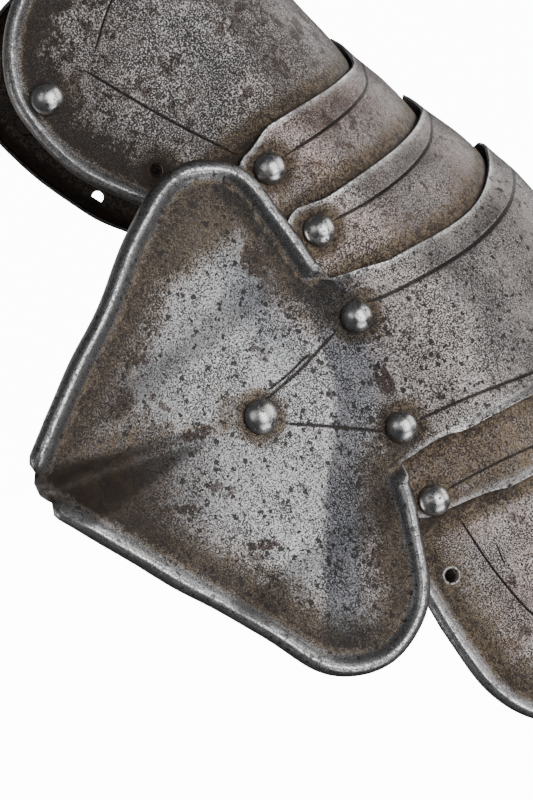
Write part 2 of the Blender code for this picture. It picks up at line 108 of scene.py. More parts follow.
# level: how many plates lie outside it. front: (z, y of the front line, flare of the half width). bottom,
# top: (place, z) along the two edges, where place is -1 at the rear edge, 0 where the side wall begins to
# round, and 1 at the front line. rear: (z, y) of the rear edge on the outer side, and inner_rear on the
# inner side where it differs. corners: radii of the lower and the upper rear corner, and inner_corners on
# the inner side where they differ. turned: size of its turned edge.
PLATES = {
    "upper_plate": {
        "level": 3,
        "front": (
            (172, -74.0, 0.0), (197, -74.6, 0.0), (211, -72.2, 0.0), (240, -66.5, 1.0), (266, -62.5, 2.6),
        ),
        "bottom": ((-1, 170), (0, 171), (0.62, 173), (1, 181)),
        "top": ((-1, 262), (0, 262), (0.62, 264), (1, 266)),
        "rear": ((170, -3.0), (181, 0.5), (197, 11.4), (207, 17.4), (219, 21.4), (228, 22.4), (262, 22.4)),
        "inner_rear": (
            (170, -8.0), (182, -3.0), (193, 4.0), (203, 8.3), (214, 12.0), (226, 15.2), (262, 16.0),
        ),
        "corners": (12.0, 36.0),
        "turned": 0.75,
    },
    "upper_lame": {
        "level": 2,
        "front": (
            (148, -82.6, 0.0), (160, -83.6, 0.0), (171, -82.6, 0.0), (182, -80.4, 0.0), (199, -76.8, 0.0),
        ),
        "bottom": ((-1, 149), (0.62, 149), (1, 156)),
        "top": ((-1, 186), (0, 188.8), (0.45, 187.7), (0.73, 189.2), (0.87, 192.5), (1, 197.5)),
        "rear": ((149, -18.5), (189, -18.5)),
        "corners": (6.0, 7.0),
        "turned": 0.0,
    },
    "middle_lame": {
        "level": 1,
        "front": (
            (120, -92.2, 0.0), (134, -94.2, 0.0), (146, -93.6, 0.0), (160, -89.4, 0.0), (175, -85.2, 0.0),
        ),
        "bottom": ((-1, 123), (0.62, 123), (1, 129)),
        "top": ((-1, 165.5), (0, 163.3), (0.46, 163.4), (0.67, 165), (0.87, 167.3), (1, 171.5)),
        "rear": ((123, -14.5), (140, -17.5), (165, -20.5)),
        "corners": (7.0, 7.0),
        "turned": 0.0,
    },
    "knee_cop": {
        "level": 0,
        "front": (
            (70, -94.2, 0.0), (92, -100.2, 0.0), (112, -102.2, 0.0), (137, -99.6, 0.0), (150, -96.6, 0.0),
        ),
        "bottom": ((-1, 90.5), (0, 87.6), (0.62, 77), (1, 70)),
        "top": ((-1, 144.5), (0, 139.2), (0.36, 136.4), (0.62, 141), (0.74, 143.5), (1, 147)),
        "rear": ((90.5, -12.0), (144.5, -23.0)),
        "inner_rear": ((70, -4.0), (150, -4.0)),
        "corners": (20.0, 20.0),
        "turned": 1.0,
    },
    "lower_lame": {
        "level": 1,
        "front": ((50, -86.4, 0.0), (64, -90.0, 0.0), (76, -92.4, 0.0), (92, -93.8, 0.0), (110, -92.0, 0.0)),
        "bottom": ((-1, 72.6), (0, 66.5), (0.62, 58), (1, 51)),
        "top": ((-1, 107), (0, 107), (0.62, 101), (1, 92)),
        "rear": ((68, -4.5), (107, -8.0)),
        "corners": (7.0, 7.0),
        "turned": 0.0,
    },
    "lower_plate": {
        "level": 2,
        "front": ((-2, -81.0, 1.0), (34, -82.0, 0.4), (58, -84.2, 0.0), (72, -85.0, 0.0), (90, -83.0, 0.0)),
        "bottom": ((-1, 0), (1, 0)),
        "top": ((-1, 74), (0, 85), (0.62, 80), (1, 73)),
        "rear": ((-2, 3.8), (60, 3.8), (74, 2.0)),
        "inner_rear": ((-2, -18.0), (60, -18.0), (74, -9.0)),
        "corners": (34.0, 8.0),
        "inner_corners": (16.0, 8.0),
        "turned": 0.75,
    },
}

# The wing: the hub where its fold begins, its rivet, and its outline as (y, z), up from the waist's low end
WING_HUB = (16.8, 125.8)
WING_RIVET = (15.4, 124.4)
LOWER_LOBE = (
    (-12.0, 90.5), (-6.5, 76.0), (8.0, 52.0), (23.5, 47.3), (39.8, 55.0), (51.0, 77.0), (60.5, 96.3),
    (80.0, 137.0),
)
MOUTH = (78.2, 143.6)  # the open rear end of the fold, between the lobes
UPPER_LOBE = (
    (79.5, 150.5), (55.5, 165.5), (33.0, 178.0), (17.0, 188.0), (-5.5, 194.4), (-18.5, 186.0), (-22.0, 166.0),
    (-23.0, 144.5),
)
FLARE_SLOPE = 0.24  # slope at which the wing stands off behind the waist
FLARE_START = 14.0  # the distance over which that slope begins
LOBE_LIFT = 5.5  # both lobes stand this much further off, clear of the plates beneath
LOBE_RISE = 12.0
FOLD_DEPTH = 6.0  # V-shaped fold from the hub to the rear corner
FOLD_START, FOLD_END = 8.0, 66.0  # its distances from the hub, and its depth is measured at its end
FOLD_RAYS = (21.0, 15.0, 2.0)  # its upper lip, bottom and lower lip, as angles at the hub

# The turned edge, at size 1: (outward, off the surface) steps from the end of the plain sheet, over the
# ridge to the cut edge, and back along the metal's other face
TURN_OUT = (
    (1.2, 0.15), (2.2, 0.75), (3.2, 1.7), (4.2, 2.4), (5.3, 2.4), (6.3, 1.55), (7.0, 0.2), (7.4, -1.4),
    (7.4, -2.6),
)
TURN_BACK = ((6.2, -2.6), (6.1, -1.1), (5.4, 0.6), (4.6, 1.1), (3.7, 0.5), (2.2, -0.9))
TURN_REACH = 7.4
TURN_TOP = 2.4  # the ridge's height
FADE = 8.0  # length over which a turned edge grows to its full size
WAIST_FADE = 3.8  # at the wing's waist
MOUTH_FADE, MOUTH_GAP = 2.6, 3.6  # at its mouth the edge ends more bluntly, either side of a gap
MOUTH_WEB = 4.2  # the plain sheet that is left standing out between them
EDGE_WAVES = ((0.03, 9.0, 0.0), (0.02, 4.1, 1.0))  # its uneven size: share, length / 2 pi, and start
FULL_TURN = (0.3, 0.5)  # an edge counts as cut below the first share of its turn, as turned above the second

# Incised lines as (h, z) along the flat blank, and their width. The last word says on which sides.
BOTH = (OUTER, INNER)
INCISED = {
    "upper_plate": [
        (((-36.2, 229.7), (-25.5, 208.0), (-14.2, 187.7)), 0.74, BOTH),
        (((-31.2, 232.6), (-19.0, 241.8), (-4.0, 248.5), (30.0, 252.0)), 0.66, BOTH),
    ],
    "upper_lame": [
        (((-2.0, 179.4), (12.0, 179.1), (25.0, 179.7), (40.0, 182.1), (52.0, 186.0),
          (66.0, 190.0)), 1.0, BOTH),
    ],
    "middle_lame": [
        (((-1.8, 156.9), (10.0, 155.7), (26.0, 155.8), (41.0, 157.7), (57.0, 161.6),
          (82.0, 167.0)), 1.0, BOTH),
    ],
    "knee_cop": [
        (((-7.4, 132.9), (-2.0, 131.5), (10.0, 129.8), (29.0, 128.3), (53.0, 130.3), (73.0, 134.6),
          (98.0, 139.0)), 1.38, BOTH),
        (((-14.0, 97.6), (0.0, 94.9), (22.5, 89.1), (50.0, 81.5), (98.0, 75.0)), 1.19, BOTH),
        (((-46.2, 127.4), (-33.0, 128.6), (-20.5, 131.0)), 1.25, (OUTER,)),
        (((-45.0, 129.1), (-37.0, 129.5), (-30.0, 130.6)), 0.6, (OUTER,)),
        (((-46.0, 118.4), (-34.0, 109.0), (-24.0, 100.6)), 1.0, (OUTER,)),
    ],
    "lower_lame": [
        (((-17.2, 76.5), (-2.0, 74.5), (10.0, 72.2), (35.0, 66.5), (80.0, 57.5)), 0.94, BOTH),
    ],
    "lower_plate": [
        (((-19.2, 67.0), (-19.0, 47.0), (-16.5, 31.0), (-9.0, 17.0), (6.0, 10.5), (66.0, 9.0)), 0.55, BOTH),
        (((-14.5, 54.8), (-15.7, 49.6)), 0.34, (OUTER,)),
    ],
}

GROOVE_DEPTH = 0.32
GROOVE_LIP = 0.3
GROOVE_ENDS = (0.15, 0.6)  # its width at the first two points of each end

# How plates meet
COVERED_BY = {
    # plate: (the plate whose edge lies over it, on which side of that edge it shows)
    "upper_plate": ("upper_lame", 1),
    "upper_lame": ("middle_lame", 1),
    "middle_lame": ("knee_cop", 1),
    "lower_lame": ("knee_cop", -1),
    "lower_plate": ("lower_lame", -1),
}
HUG = {
    # how far a plate's edge is drawn in round the front, at its top and at its lower edge
    "upper_lame": (2.1, 0.0),
    "middle_lame": (2.2, 0.0),
    "knee_cop": (2.6, 1.0),
    "lower_lame": (0.0, 1.2),
}
HUG_DEPTH = 12.0  # over this distance from the edge
HUG_ROUND = (
    # place round the front, and the share drawn in there
    (0.0, 0.0), (0.1, 0.15), (0.25, 0.5), (0.45, 0.9), (0.6, 1.0), (0.75, 0.85), (0.85, 0.55), (0.93, 0.2),
    (1.0, 0.0),
)
BEVELLED = {"knee_cop": -10.0, "lower_lame": -6.0}  # plates with a rounded lower edge, and where it starts
BEVEL, BEVEL_DEPTH = 3.4, 0.75
BEVEL_END = 4.0  # it ends this far before the front line
WING_BEVEL = (-12.0, 8.0)  # on the wing's side it begins at this h, and is full after this width
PASSING_RIVETS = (
    # (y, z) of the heads which pass behind the wing, at rest and at the limit
    ((-13.5, 76.2), (-9.6, 77.3)),
    ((-29.0, 157.0), (-25.3, 157.5)),
)
PASSING_TOP = -64.5  # x of these heads' tops, with room to pass
PASSING_DROP = 1.7  # from a head's top to its rim
EDGE_ROUNDING = 0.4  # a plain cut edge is rounded over by this much
THINNED = 0.45  # cut edges are this much thinner than the sheet
THINNED_WIDTH = 1.8
SQUARENESS = 0.55  # 1 makes a cut edge round, and less makes it squarer
DENTS = ((34.0, 0.12), (21.0, 0.07), (13.0, 0.035))  # lengths and sizes of the hammering's ripples
DENT_SHARE = 0.6

# Fineness of the mesh
HOLE_SIDES = 28
GROOVE_STEP = 1.2
EDGE_STEP = 1.4
WING_STEP = 1.0
WING_SMOOTHING = 1.5  # how far out the curve reaches that smooths the wing's outline, over seven points
LOBE_STEPS = 80
CORNER_STEPS = 16
COLUMN_STEPS = 56
ROWS = 40
LINE_STEPS = 40
BEVEL_STEPS = 70
CLEAR_OF_OUTLINE, CLEAR_OF_HOLES, CLEAR_OF_LINES = 0.55, 0.5, 0.6  # shares of the mesh spacing
EDGE_OUT, EDGE_BACK = 12, 7  # steps over a turned edge to the cut edge, and back along its other face
EDGE_CREASES = (0.6, 1.5)  # rows of points this far inside an edge
BEVEL_CREASES = (0.7, 1.5, 2.4, 3.4)
RING_CREASES = (0.4, 0.9)  # and round the strap holes
HEAD_SEGMENTS, HEAD_RINGS = 40, 24
MERGED, RIVET_MERGED = 0.00001, 0.000002  # metres between points that count as one, on plates and rivets
FLATTENED = 0.000001  # and the length of edge below which a facet is dropped
NO_LENGTH = 1e-9  # shorter pieces of a path are left out

# Marks that the surface carries for its material. Some of them are painted light and shade rather than marks
# of the metal: painted shade in recesses, under edges and in the wing's fold, a painted cool shade on the
# wing, and a painted reflection on bare steel
MARKS = ("patina", "worn", "soot", "incised", "pale", "cool", "rusty", "scaly")
STAINS = ("patina", "worn", "soot", "pale", "cool", "rusty", "scaly")
INNER_PATINA = 0.45
# The holes' walls carry patina and a painted shade
HOLE_PATINA, HOLE_PAINTED_SHADE = 0.6, 0.5
HALOES = {
    # what it is, and round what: strength, distance up to which it is full, fade beyond that
    "wear, edge": (0.7, 0.0, 0.8),
    "patina, turned edge": (0.95, 2.5, 3.6),
    "wide patina, turned edge": (0.6, 4.0, 8.0),
    # Painted shade at the foot of a turned edge
    "soot, turned edge": (0.12, 0.0, 1.4),
    "scale, turned edge": (1.0, 2.0, 9.0),
    "patina, rivet head": (0.95, HEAD_RADIUS + 0.4, 3.4),
    # Painted shade round the upper strap hole
    "soot, upper strap hole": (1.0, STRAP_HOLE_RADIUS + 0.9, 0.3),
    "patina, upper strap hole": (0.8, STRAP_HOLE_RADIUS + 2.0, 5.0),
    "wear, lower strap hole": (0.9, 0.0, 0.25),
    "patina, lower strap hole": (0.6, STRAP_HOLE_RADIUS + 1.5, 3.0),
    "patina, edge above": (0.97, 1.5, 4.4),
    "wide patina, edge above": (0.4, 3.0, 8.0),
    # Painted shadow along the edge of the plate above, and painted shade under that plate
    "soot, edge above": (0.9, 0.0, 0.9),
    "patina, side of the lower lame": (0.65, 0.0, 32.0),
    "patina, mouth under the fold": (0.98, 14.0, 18.0),
    "wide patina, mouth": (0.5, 26.0, 16.0),
    # Painted shade in the fold under the wing's upper lobe
    "soot, mouth under the fold": (0.93, 16.0, 25.0),
    # Painted cool shade in the fold
    "cool, mouth under the fold": (0.85, 22.0, 22.0),
    "brown, mouth": (0.8, 18.0, 26.0),
    "patina, hub": (0.6, 6.0, 8.0),
    # Painted cool shade in front of the painted reflection's edge
    "cool, tone line": (1.0, 9.0, 9.0),
}
HOLE_RIM = 0.4  # the bright rim round the lower strap hole is this far out
FOLD_EDGE = 24.0  # angle at the hub of the fold's upper lip, where its stain ends
SHADE_LINE = (
    # z, and the y of the edge of a painted reflection on the wing's face: in front of it the face gets a
    # painted darker, bluer shade
    (56.0, 42.0), (69.0, 33.0), (95.0, 13.0), (116.0, -5.4), (135.0, -11.8), (159.0, -13.5), (180.0, -9.0),
)
PATCHES = {
    # soft patches on the wing: y, z, stretch along y and along z, radius of the full middle, fade, strength
    "patina": ((-19.0, 139.0, 1.3, 1.0, 0.0, 9.0, 0.75),),
    # The cool patches are painted shade
    "cool": ((42.0, 146.0, 1.5, 1.0, 0.0, 11.0, 0.5), (-2.0, 154.0, 0.625, 1.6, 3.0, 9.0, 0.6)),
}
STREAKS = (
    # rust on the wing: y, z, half length, half width, lean in degrees, strength
    (49.0, 117.0, 6.5, 0.9, 36.0, 1.0),
    (34.8, 95.0, 4.5, 1.3, 30.0, 0.9),
    (33.0, 131.0, 6.0, 2.2, 20.0, 0.7),
    (8.9, 71.0, 3.2, 5.5, 0.0, 0.85),
    (33.0, 60.0, 8.0, 2.0, 60.0, 0.8),
    (-7.5, 161.0, 4.0, 4.5, 0.0, 0.8),
    (-20.5, 112.5, 2.6, 5.5, 10.0, 0.8),
    (46.0, 150.0, 4.0, 5.0, 30.0, 0.6),
    (36.0, 158.0, 5.0, 3.0, 50.0, 0.55),
    (11.0, 59.0, 5.0, 2.4, 40.0, 0.7),
)

# Materials
NOISES = {
    # name: scale, detail, roughness, distortion
    "broad": (32.0, 3.0, 0.55, 0.0),
    "cloud": (88.0, 4.0, 0.62, 0.0),
    "blotch": (250.0, 4.0, 0.65, 0.5),
    "mottle": (760.0, 3.0, 0.62, 0.0),
    "grit": (2600.0, 2.0, 0.55, 0.0),
    "grain": (3600.0, 1.0, 0.5, 0.0),
}
CELL_SCALE, WANDER_SCALE = 640.0, 900.0  # the larger pits, and the waviness of their edges
CELL_WANDER = 0.0022  # how far their edges wander
# Tint of the painted cool shade
PAINTED_SHADE_TINT = (0.40, 0.44, 0.50)
WORLD_COLOUR = (0.9, 0.93, 1.0, 1)
FLOOR_SIZES = (2.4, 1.6, 6.0)  # metres: radius of its flat part, of its bend, and its height
FLOOR_SIDES = 64

# Each light's place (to the right of, above and nearer than the target, as the camera sees it), its size,
# its share of the main power, and its colour
LIGHTS = {
    "Main light": ((0.74, 0.10, 1.0), (0.75, 1.1), 1.15, (1.0, 1.0, 1.0)),
    "Right light": ((1.25, 0.60, 0.15), (1.0, 1.2), 0.9, (1.0, 0.985, 0.97)),
    "Low light": ((0.85, -0.85, 0.5), (0.8, 0.6), 0.5, (0.97, 0.98, 1.0)),
    "Rim light": ((0.85, 0.85, -0.9), (0.9, 0.9), 0.7, (1.0, 0.99, 0.98)),
    "Fill light": ((-0.35, 0.15, 1.0), (0.6, 0.6), 0.11, (1.0, 1.0, 1.0)),
    "Back light": ((-0.75, 0.3, -1.2), (0.9, 0.9), 0.6, (1.0, 1.0, 1.0)),
    "Inside light": ((-1.25, -0.52, -0.25), (0.9, 0.9), 0.9, (1.0, 1.0, 1.0)),
}


def curve(table, at, column=1):
    """Reads a smooth curve through a table whose first column rises."""
    places = np.array([row[0] for row in table], float)
    values = np.array([row[column] for row in table], float)
    at = np.clip(np.asarray(at, float), places[0], places[-1])
    slopes = np.gradient(values, places)
    low = np.clip(np.searchsorted(places, at, side="right") - 1, 0, len(places) - 2)
    width = places[low + 1] - places[low]
    t = (at - places[low]) / width
    ends = (1 + 2 * t) * (1 - t) ** 2 * values[low] + t * t * (3 - 2 * t) * values[low + 1]
    return ends + width * t * (1 - t) * ((1 - t) * slopes[low] - t * slopes[low + 1])


def ramp(value, start, width):
    """A straight step from 0 at the start to 1 a width further."""
    return np.clip((value - start) / width, 0, 1)


def soft(distance, width):
    """1 up to no distance, and fading out over about this width."""
    return np.exp(-((np.maximum(distance, 0) / width) ** 2))


def eased(distance, start):
    """A straight rise of slope 1 that begins softly at zero."""
    distance = np.maximum(distance, 0)
    return distance * distance / (distance + start)


def levelling(distance, rise):
    """A soft step from 0 to 1."""
    distance = np.maximum(distance, 0)
    return distance**2 / (distance**2 + rise**2)


def strongest(*amounts):
    """The largest of several amounts, point by point."""
    return np.maximum.reduce(np.broadcast_arrays(*amounts))


def length_along(path):
    """How far along a path each of its points is."""
    return np.concatenate([[0], np.cumsum(np.hypot(*np.diff(path[:, :2], axis=0).T))])


def left_of(path):
    """The direction to the left of a path at each of its points."""
    ahead = np.gradient(path[:, :2], axis=0)
    ahead /= np.linalg.norm(ahead, axis=1)[:, None]
    return np.column_stack([-ahead[:, 1], ahead[:, 0]])


def moved_left(path, amount):
    """A path moved to its left."""
    return path + left_of(path) * np.broadcast_to(amount, len(path))[:, None]


def smooth_path(points, steps):
    """Evenly spaced points along a smooth path through the given ones."""
    points = np.array(points, float)
    along = np.concatenate([[0], np.cumsum(np.linalg.norm(np.diff(points, axis=0), axis=1))])
    rows = np.column_stack([along, points])
    at = np.linspace(0, along[-1], steps + 1)
    return np.column_stack([curve(rows, at, 1), curve(rows, at, 2)])


def resampled(path, spacing):
    """The same polyline with points about this far apart, its own corners kept."""
    out = [path[0]]
    for start, end in zip(path[:-1], path[1:]):
        count = max(1, round(float(np.hypot(*(end - start))) / spacing))
        out += [start + (end - start) * step / count for step in range(1, count + 1)]
    return np.array(out)


def segment_distance(points, path):
    """Distance from each flat point to a polyline."""
    best = np.full(len(points), np.inf)
    for start, end in zip(path[:-1], path[1:]):
        step = end - start
        length = np.hypot(*step)
        if length > NO_LENGTH:
            t = np.clip((points - start) @ step / length**2, 0, 1)
            best = np.minimum(best, np.hypot(*(points - start - t[:, None] * step).T))
    return best


def inside_polygon(points, polygon):
    inside = np.zeros(len(points), bool)
    x, y = points.T
    for (x0, y0), (x1, y1) in zip(polygon, np.roll(polygon, -1, axis=0)):
        crosses = (y0 > y) != (y1 > y)
        if y1 != y0:
            inside ^= crosses & (x < (x1 - x0) * (y - y0) / (y1 - y0) + x0)
    return inside


def ring(centre, radius):
    """The points round a hole."""
    angles = np.arange(HOLE_SIDES) * 2 * math.pi / HOLE_SIDES
    return np.array(centre) + radius * np.column_stack([np.cos(angles), np.sin(angles)])


def closed(points):
    return np.vstack([points, points[:1]])


def is_wing(name, side):
    return name == "knee_cop" and side == OUTER


def wing_flare(y, z):
    """How far the wing stands off the plane of the cop's side wall."""
    (low_z, low_y), (top_z, top_y) = PLATES["knee_cop"]["rear"]
    waist_y = low_y + (z - low_z) * (top_y - low_y) / (top_z - low_z)
    rise = FLARE_SLOPE * eased(y - waist_y, FLARE_START)
    rise = rise + LOBE_LIFT * (levelling(z - top_z, LOBE_RISE) + levelling(low_z - z, LOBE_RISE))
    angle = np.degrees(np.arctan2(z - WING_HUB[1], y - WING_HUB[0]))
    upper, bottom, lower = FOLD_RAYS
    valley = np.clip(np.minimum((upper - angle) / (upper - bottom), (angle - lower) / (bottom - lower)), 0, 1)
    from_hub = np.maximum(np.hypot(y - WING_HUB[0], z - WING_HUB[1]) - FOLD_START, 0)
    return rise - FOLD_DEPTH * valley * from_hub / (FOLD_END - FOLD_START)


def front_depth(name, z):
    return WALL_START - curve(PLATES[name]["front"], z)


def front_line(name, z):
    """h of the front line at this height."""
    return front_depth(name, z) * math.pi / 2


def edge_place(h, front):
    """The place along a plate's top or lower edge, as its table counts it."""
    return h / np.where(h < 0, SIDE_LENGTH, front)


def on_plate(name, h, z, lift=0.0, side=OUTER):
    """Bends points of the flat blank round the knee, and lifts them off the plate's outer face."""
    h, z, lift = np.broadcast_arrays(np.asarray(h, float), np.asarray(z, float), lift)
    depth = front_depth(name, z)
    width = COP_HALF_WIDTH - NEST * PLATES[name]["level"] + curve(PLATES[name]["front"], z, 2)
    angle = np.clip(h / depth, 0, math.pi / 2)
    x, y = width * np.cos(angle), WALL_START - depth * np.sin(angle) - np.minimum(h, 0)
    out_x, out_y = np.cos(angle) / width, np.sin(angle) / depth
    length = np.hypot(out_x, out_y)
    if is_wing(name, side):
        x = x + np.where(h < 0, wing_flare(y, z), 0)
    return np.stack([side * (x + lift * out_x / length), y - lift * out_y / length, z], axis=-1)


def corner_rise(radius, distance):
    """How far a round corner draws the edge in, at this distance from the rear edge."""
    short = max(radius - distance, 0)
    return radius - math.sqrt(radius * radius - short * short)


def half_blank(name, side, corners, reach, top_reach):
    """The blank from a rear edge to the front line, as h and z of each [row][column]. Its turned edges
    are drawn in by their reach."""
    plate = PLATES[name]
    low_radius, top_radius = [max(radius - reach, 0) for radius in corners]
    bottom, top = plate["bottom"], plate["top"]
    up = np.linspace(0, 1, ROWS + 1)
    widest = max(low_radius, top_radius)
    angles = np.linspace(0, math.pi / 2, CORNER_STEPS + 1)
    rear = plate["rear"] if side == OUTER else plate.get("inner_rear", plate["rear"])
    columns = []
    for distance in widest * (1 - np.cos(angles)) if widest else [0.0]:
        low_z = bottom[0][1] + corner_rise(low_radius, distance)
        top_z = top[0][1] - top_reach - corner_rise(top_radius, distance)
        z = low_z + (top_z - low_z) * up
        columns.append((WALL_START - curve(rear, z) + reach + distance, z))
    start_h, start_z = columns[-1]
    start, front = start_h.mean(), front_line(name, start_z.mean())
    for share in np.linspace(0, 1, COLUMN_STEPS + 1)[1:]:
        middle = start * (1 - share) + front * share
        place = middle / (abs(start) if middle < 0 else front)
        z = curve(bottom, place) + (curve(top, place) - top_reach - curve(bottom, place)) * up
        columns.append((start_h * (1 - share) + front_line(name, z) * share, z))
    h, z = np.array(columns).transpose(1, 2, 0)
    return h, z


def dents(points):
    """How far hand hammering left the metal off its true form, as a gentle ripple through space."""
    chance = np.random.default_rng(11)
    ripple = np.zeros(points.shape[:-1])
    for wave, size in DENTS:
        for _ in range(4):
            way = chance.normal(size=3)
            way *= 2 * math.pi / wave / np.linalg.norm(way)
            ripple += size * np.sin(points @ way + chance.uniform(0, 2 * math.pi))
    return ripple * DENT_SHARE


def edge_distance(name, which, h, z):
    """How far each flat point lies inside the plate's top or lower edge, along z, and its place round it."""
    place = np.clip(edge_place(h, front_line(name, z)), -1, 1)
    line = curve(PLATES[name][which], place)
    return (line - z if which == "top" else z - line), np.clip(place, 0, 1)


def hugging(name, h, z):
    """How far the plate is drawn in towards the one beneath it."""
    total = np.zeros(np.shape(h))
    for which, most in zip(("top", "bottom"), HUG.get(name, (0.0, 0.0))):
        inside, place = edge_distance(name, which, h, z)
        near = np.clip(1 - inside / HUG_DEPTH, 0, 1)
        total = total + most * curve(HUG_ROUND, place) * near * near * (3 - 2 * near)
    return total


def bevel(name, h, z, side):
    """How far the outer face is rounded off beside its lower edge."""
    if name not in BEVELLED:
        return np.zeros(np.shape(h))
    inside, _ = edge_distance(name, "bottom", h, z)
    near = np.clip(1 - inside / BEVEL, 0, 1)
    if is_wing(name, side):
        near = near * ramp(h, *WING_BEVEL)
    return BEVEL_DEPTH * near * near


def over_rivets(points):
    """Points of the wing, kept outside the heads of the rivets which pass behind it as the cop turns."""
    places = points[..., 1:]
    for start, end in np.array(PASSING_RIVETS):
        travel = end - start
        share = np.clip((places - start) @ travel / (travel @ travel), 0, 1)
        apart = np.linalg.norm(places - start - share[..., None] * travel, axis=-1)
        points[..., 0] = np.minimum(points[..., 0], PASSING_TOP + PASSING_DROP * (apart / HEAD_RADIUS) ** 2)
    return points


def bent(name, h, z, lift, side):
    """Points of the flat blank on the finished plate, in millimetres, with the hammering in."""
    h, z, lift = np.broadcast_arrays(h, z, lift)
    plain = on_plate(name, h, z, 0.0, side)
    points = on_plate(name, h, z, lift + dents(plain) - hugging(name, h, z), side)
    return over_rivets(points) if is_wing(name, side) else points


def fade_in(path, breaks):
    """How far the edge is turned along a path: nothing at each break, and in full beyond its fade length.
    A break is (place, fade length, half length of the gap before the fade starts)."""
    along = length_along(path)
    turn = np.ones(len(path))
    for place, fade, gap in breaks:
        near = np.clip((np.abs(along - place * along[-1]) - gap) / fade, 0, 1)
        turn = np.minimum(turn, np.sqrt(1 - (1 - near) ** 2))
    return turn


def fine_edge(path, size, sunk, wall, extra):
    """The edge of the metal along a path of (h, z, turn) points, whose outer face is sunk so far, whose
    inner face is this deep and which stands out this much more where it isn't turned: h, z and lift of each
    [step][point]."""
    along = length_along(path)
    uneven = sum(share * np.sin(along / length + start) for share, length, start in EDGE_WAVES)
    turn = (path[:, 2] * (1 + uneven))[:, None]
    over = smooth_path(((0, 0), *TURN_OUT), EDGE_OUT)
    back = smooth_path((*TURN_BACK, (0, -WALL)), EDGE_BACK)
    full = np.vstack([over, back])
    share = np.linspace(0, math.pi, len(full))
    square = np.abs(np.cos(share)) ** SQUARENESS * np.sign(np.cos(share))
    round_out = (EDGE_ROUNDING + extra[:, None]) * np.sin(share) ** SQUARENESS
    round_lift = -sunk[:, None] + (square - 1) * (wall - sunk)[:, None] / 2
    reach = turn * size * full[:, 0] + (1 - turn) * round_out
    lift = turn * size * full[:, 1] + (1 - turn) * round_lift
    lift[:, -1] = -wall
    left = left_of(path)
    return path[:, :1] + left[:, :1] * reach, path[:, 1:2] + left[:, 1:] * reach, lift


def wing_path():
    """(h, z, turn) round the wing within its turned edge, from the waist's low end to its top."""
    lower, upper = smooth_path(LOWER_LOBE, LOBE_STEPS), smooth_path(UPPER_LOBE, LOBE_STEPS)
    lower = moved_left(lower, TURN_REACH * fade_in(lower, ((0.0, WAIST_FADE, 0),)))
    upper = moved_left(upper, TURN_REACH * fade_in(upper, ((1.0, WAIST_FADE, 0),)))
    edge = resampled(np.vstack([lower, upper]), WING_STEP)
    weights = np.exp(-np.linspace(-WING_SMOOTHING, WING_SMOOTHING, 7) ** 2)
    padded = np.vstack([np.repeat(edge[:1], 3, axis=0), edge, np.repeat(edge[-1:], 3, axis=0)])
    edge = np.column_stack([np.convolve(column, weights / weights.sum(), "valid") for column in padded.T])
    along = length_along(edge)
    gap = (lower[-1] + upper[0]) / 2
    mouth = along[np.argmin(np.hypot(*(edge - gap).T))] / along[-1]
    turn = fade_in(edge, ((0.0, WAIST_FADE, 0), (mouth, MOUTH_FADE, MOUTH_GAP), (1.0, WAIST_FADE, 0)))
    return np.column_stack([WALL_START - edge[:, 0], edge[:, 1], turn])


def free_path(name, side):
    """(h, z, turn) of a half's free edge, from the front line along the bottom, up the rear, and back
    along the top, and the (h, z) of the front line from the top down."""
    plate = PLATES[name]
    reach = 0.0 if name == "knee_cop" else TURN_REACH * plate["turned"]
    corners = plate.get("inner_corners", plate["corners"]) if side == INNER else plate["corners"]
    if is_wing(name, side):
        corners = (0, 0)
    h, z = half_blank(name, side, corners, reach, reach if name == "upper_plate" else 0)
    bottom = np.column_stack([h[0, ::-1], z[0, ::-1]])
    rear = np.column_stack([h[1:-1, 0], z[1:-1, 0]])
    top = np.column_stack([h[-1], z[-1]])
    turns = [np.zeros(len(bottom)), np.zeros(len(rear)), np.zeros(len(top))]
    if is_wing(name, side):
        wing = wing_path()
        rear, turns[1] = wing[:, :2], wing[:, 2]
    elif name == "upper_plate":
        turned = fade_in(np.vstack([rear, top]), ((0.0, FADE, 0),))
        turns[1:] = [turned[: len(rear)], turned[len(rear) :]]
    elif name == "lower_plate":
        corner = CORNER_STEPS + 1
        turned = fade_in(np.vstack([bottom[-corner:], rear]), ((0.0, FADE, 0), (1.0, FADE, 0)))
        turns[0][-corner:] = turned[:corner]
        turns[1] = turned[corner:]
    path = np.column_stack([np.vstack([bottom, rear, top]), np.concatenate(turns)])
    along = length_along(path)
    at = np.linspace(0, along[-1], round(along[-1] / EDGE_STEP))
    path = np.column_stack([np.interp(at, along, column) for column in path.T])
    path[:, :2] = moved_left(path[:, :2], -EDGE_ROUNDING * (1 - path[:, 2]))
    for end in (0, -1):
        path[end, 0] = front_line(name, path[end, 1])
    z = np.linspace(path[-1, 1], path[0, 1], len(h))
    return path, np.column_stack([front_line(name, z), z])


def holes_of(name, side):
    """((h, z), radius) of each round hole through one half of a plate."""
    shank = SHANK_RADIUS + PLAY
    found = [(y, z, shank) for y, z, *plates in PIVOTS.values() if name in plates]
    if name == "upper_plate":
        found += [(*STRAP_RIVETS[side], shank), (*UPPER_STRAP_HOLE, STRAP_HOLE_RADIUS)]
    if name == "lower_plate":
        found.append((*LOWER_STRAP_HOLE, STRAP_HOLE_RADIUS))
    if is_wing(name, side):
        found.append((*WING_RIVET, shank))
    return [((WALL_START - y, z), radius) for y, z, radius in found]


def groove_rows(path, width):
    """The lines that a V-shaped groove is made of, each with its depth: its two lips, just beyond each of
    them, and its bottom."""
    taper = np.ones(len(path))
    taper[:2] = GROOVE_ENDS
    taper[-2:] = GROOVE_ENDS[::-1]
    lip = taper * width / 2
    beyond = lip + GROOVE_LIP
    ways = ((beyond, 0), (lip, 0), (0, 1), (-lip, 0), (-beyond, 0))
    return [(moved_left(path, way), deep) for way, deep in ways]


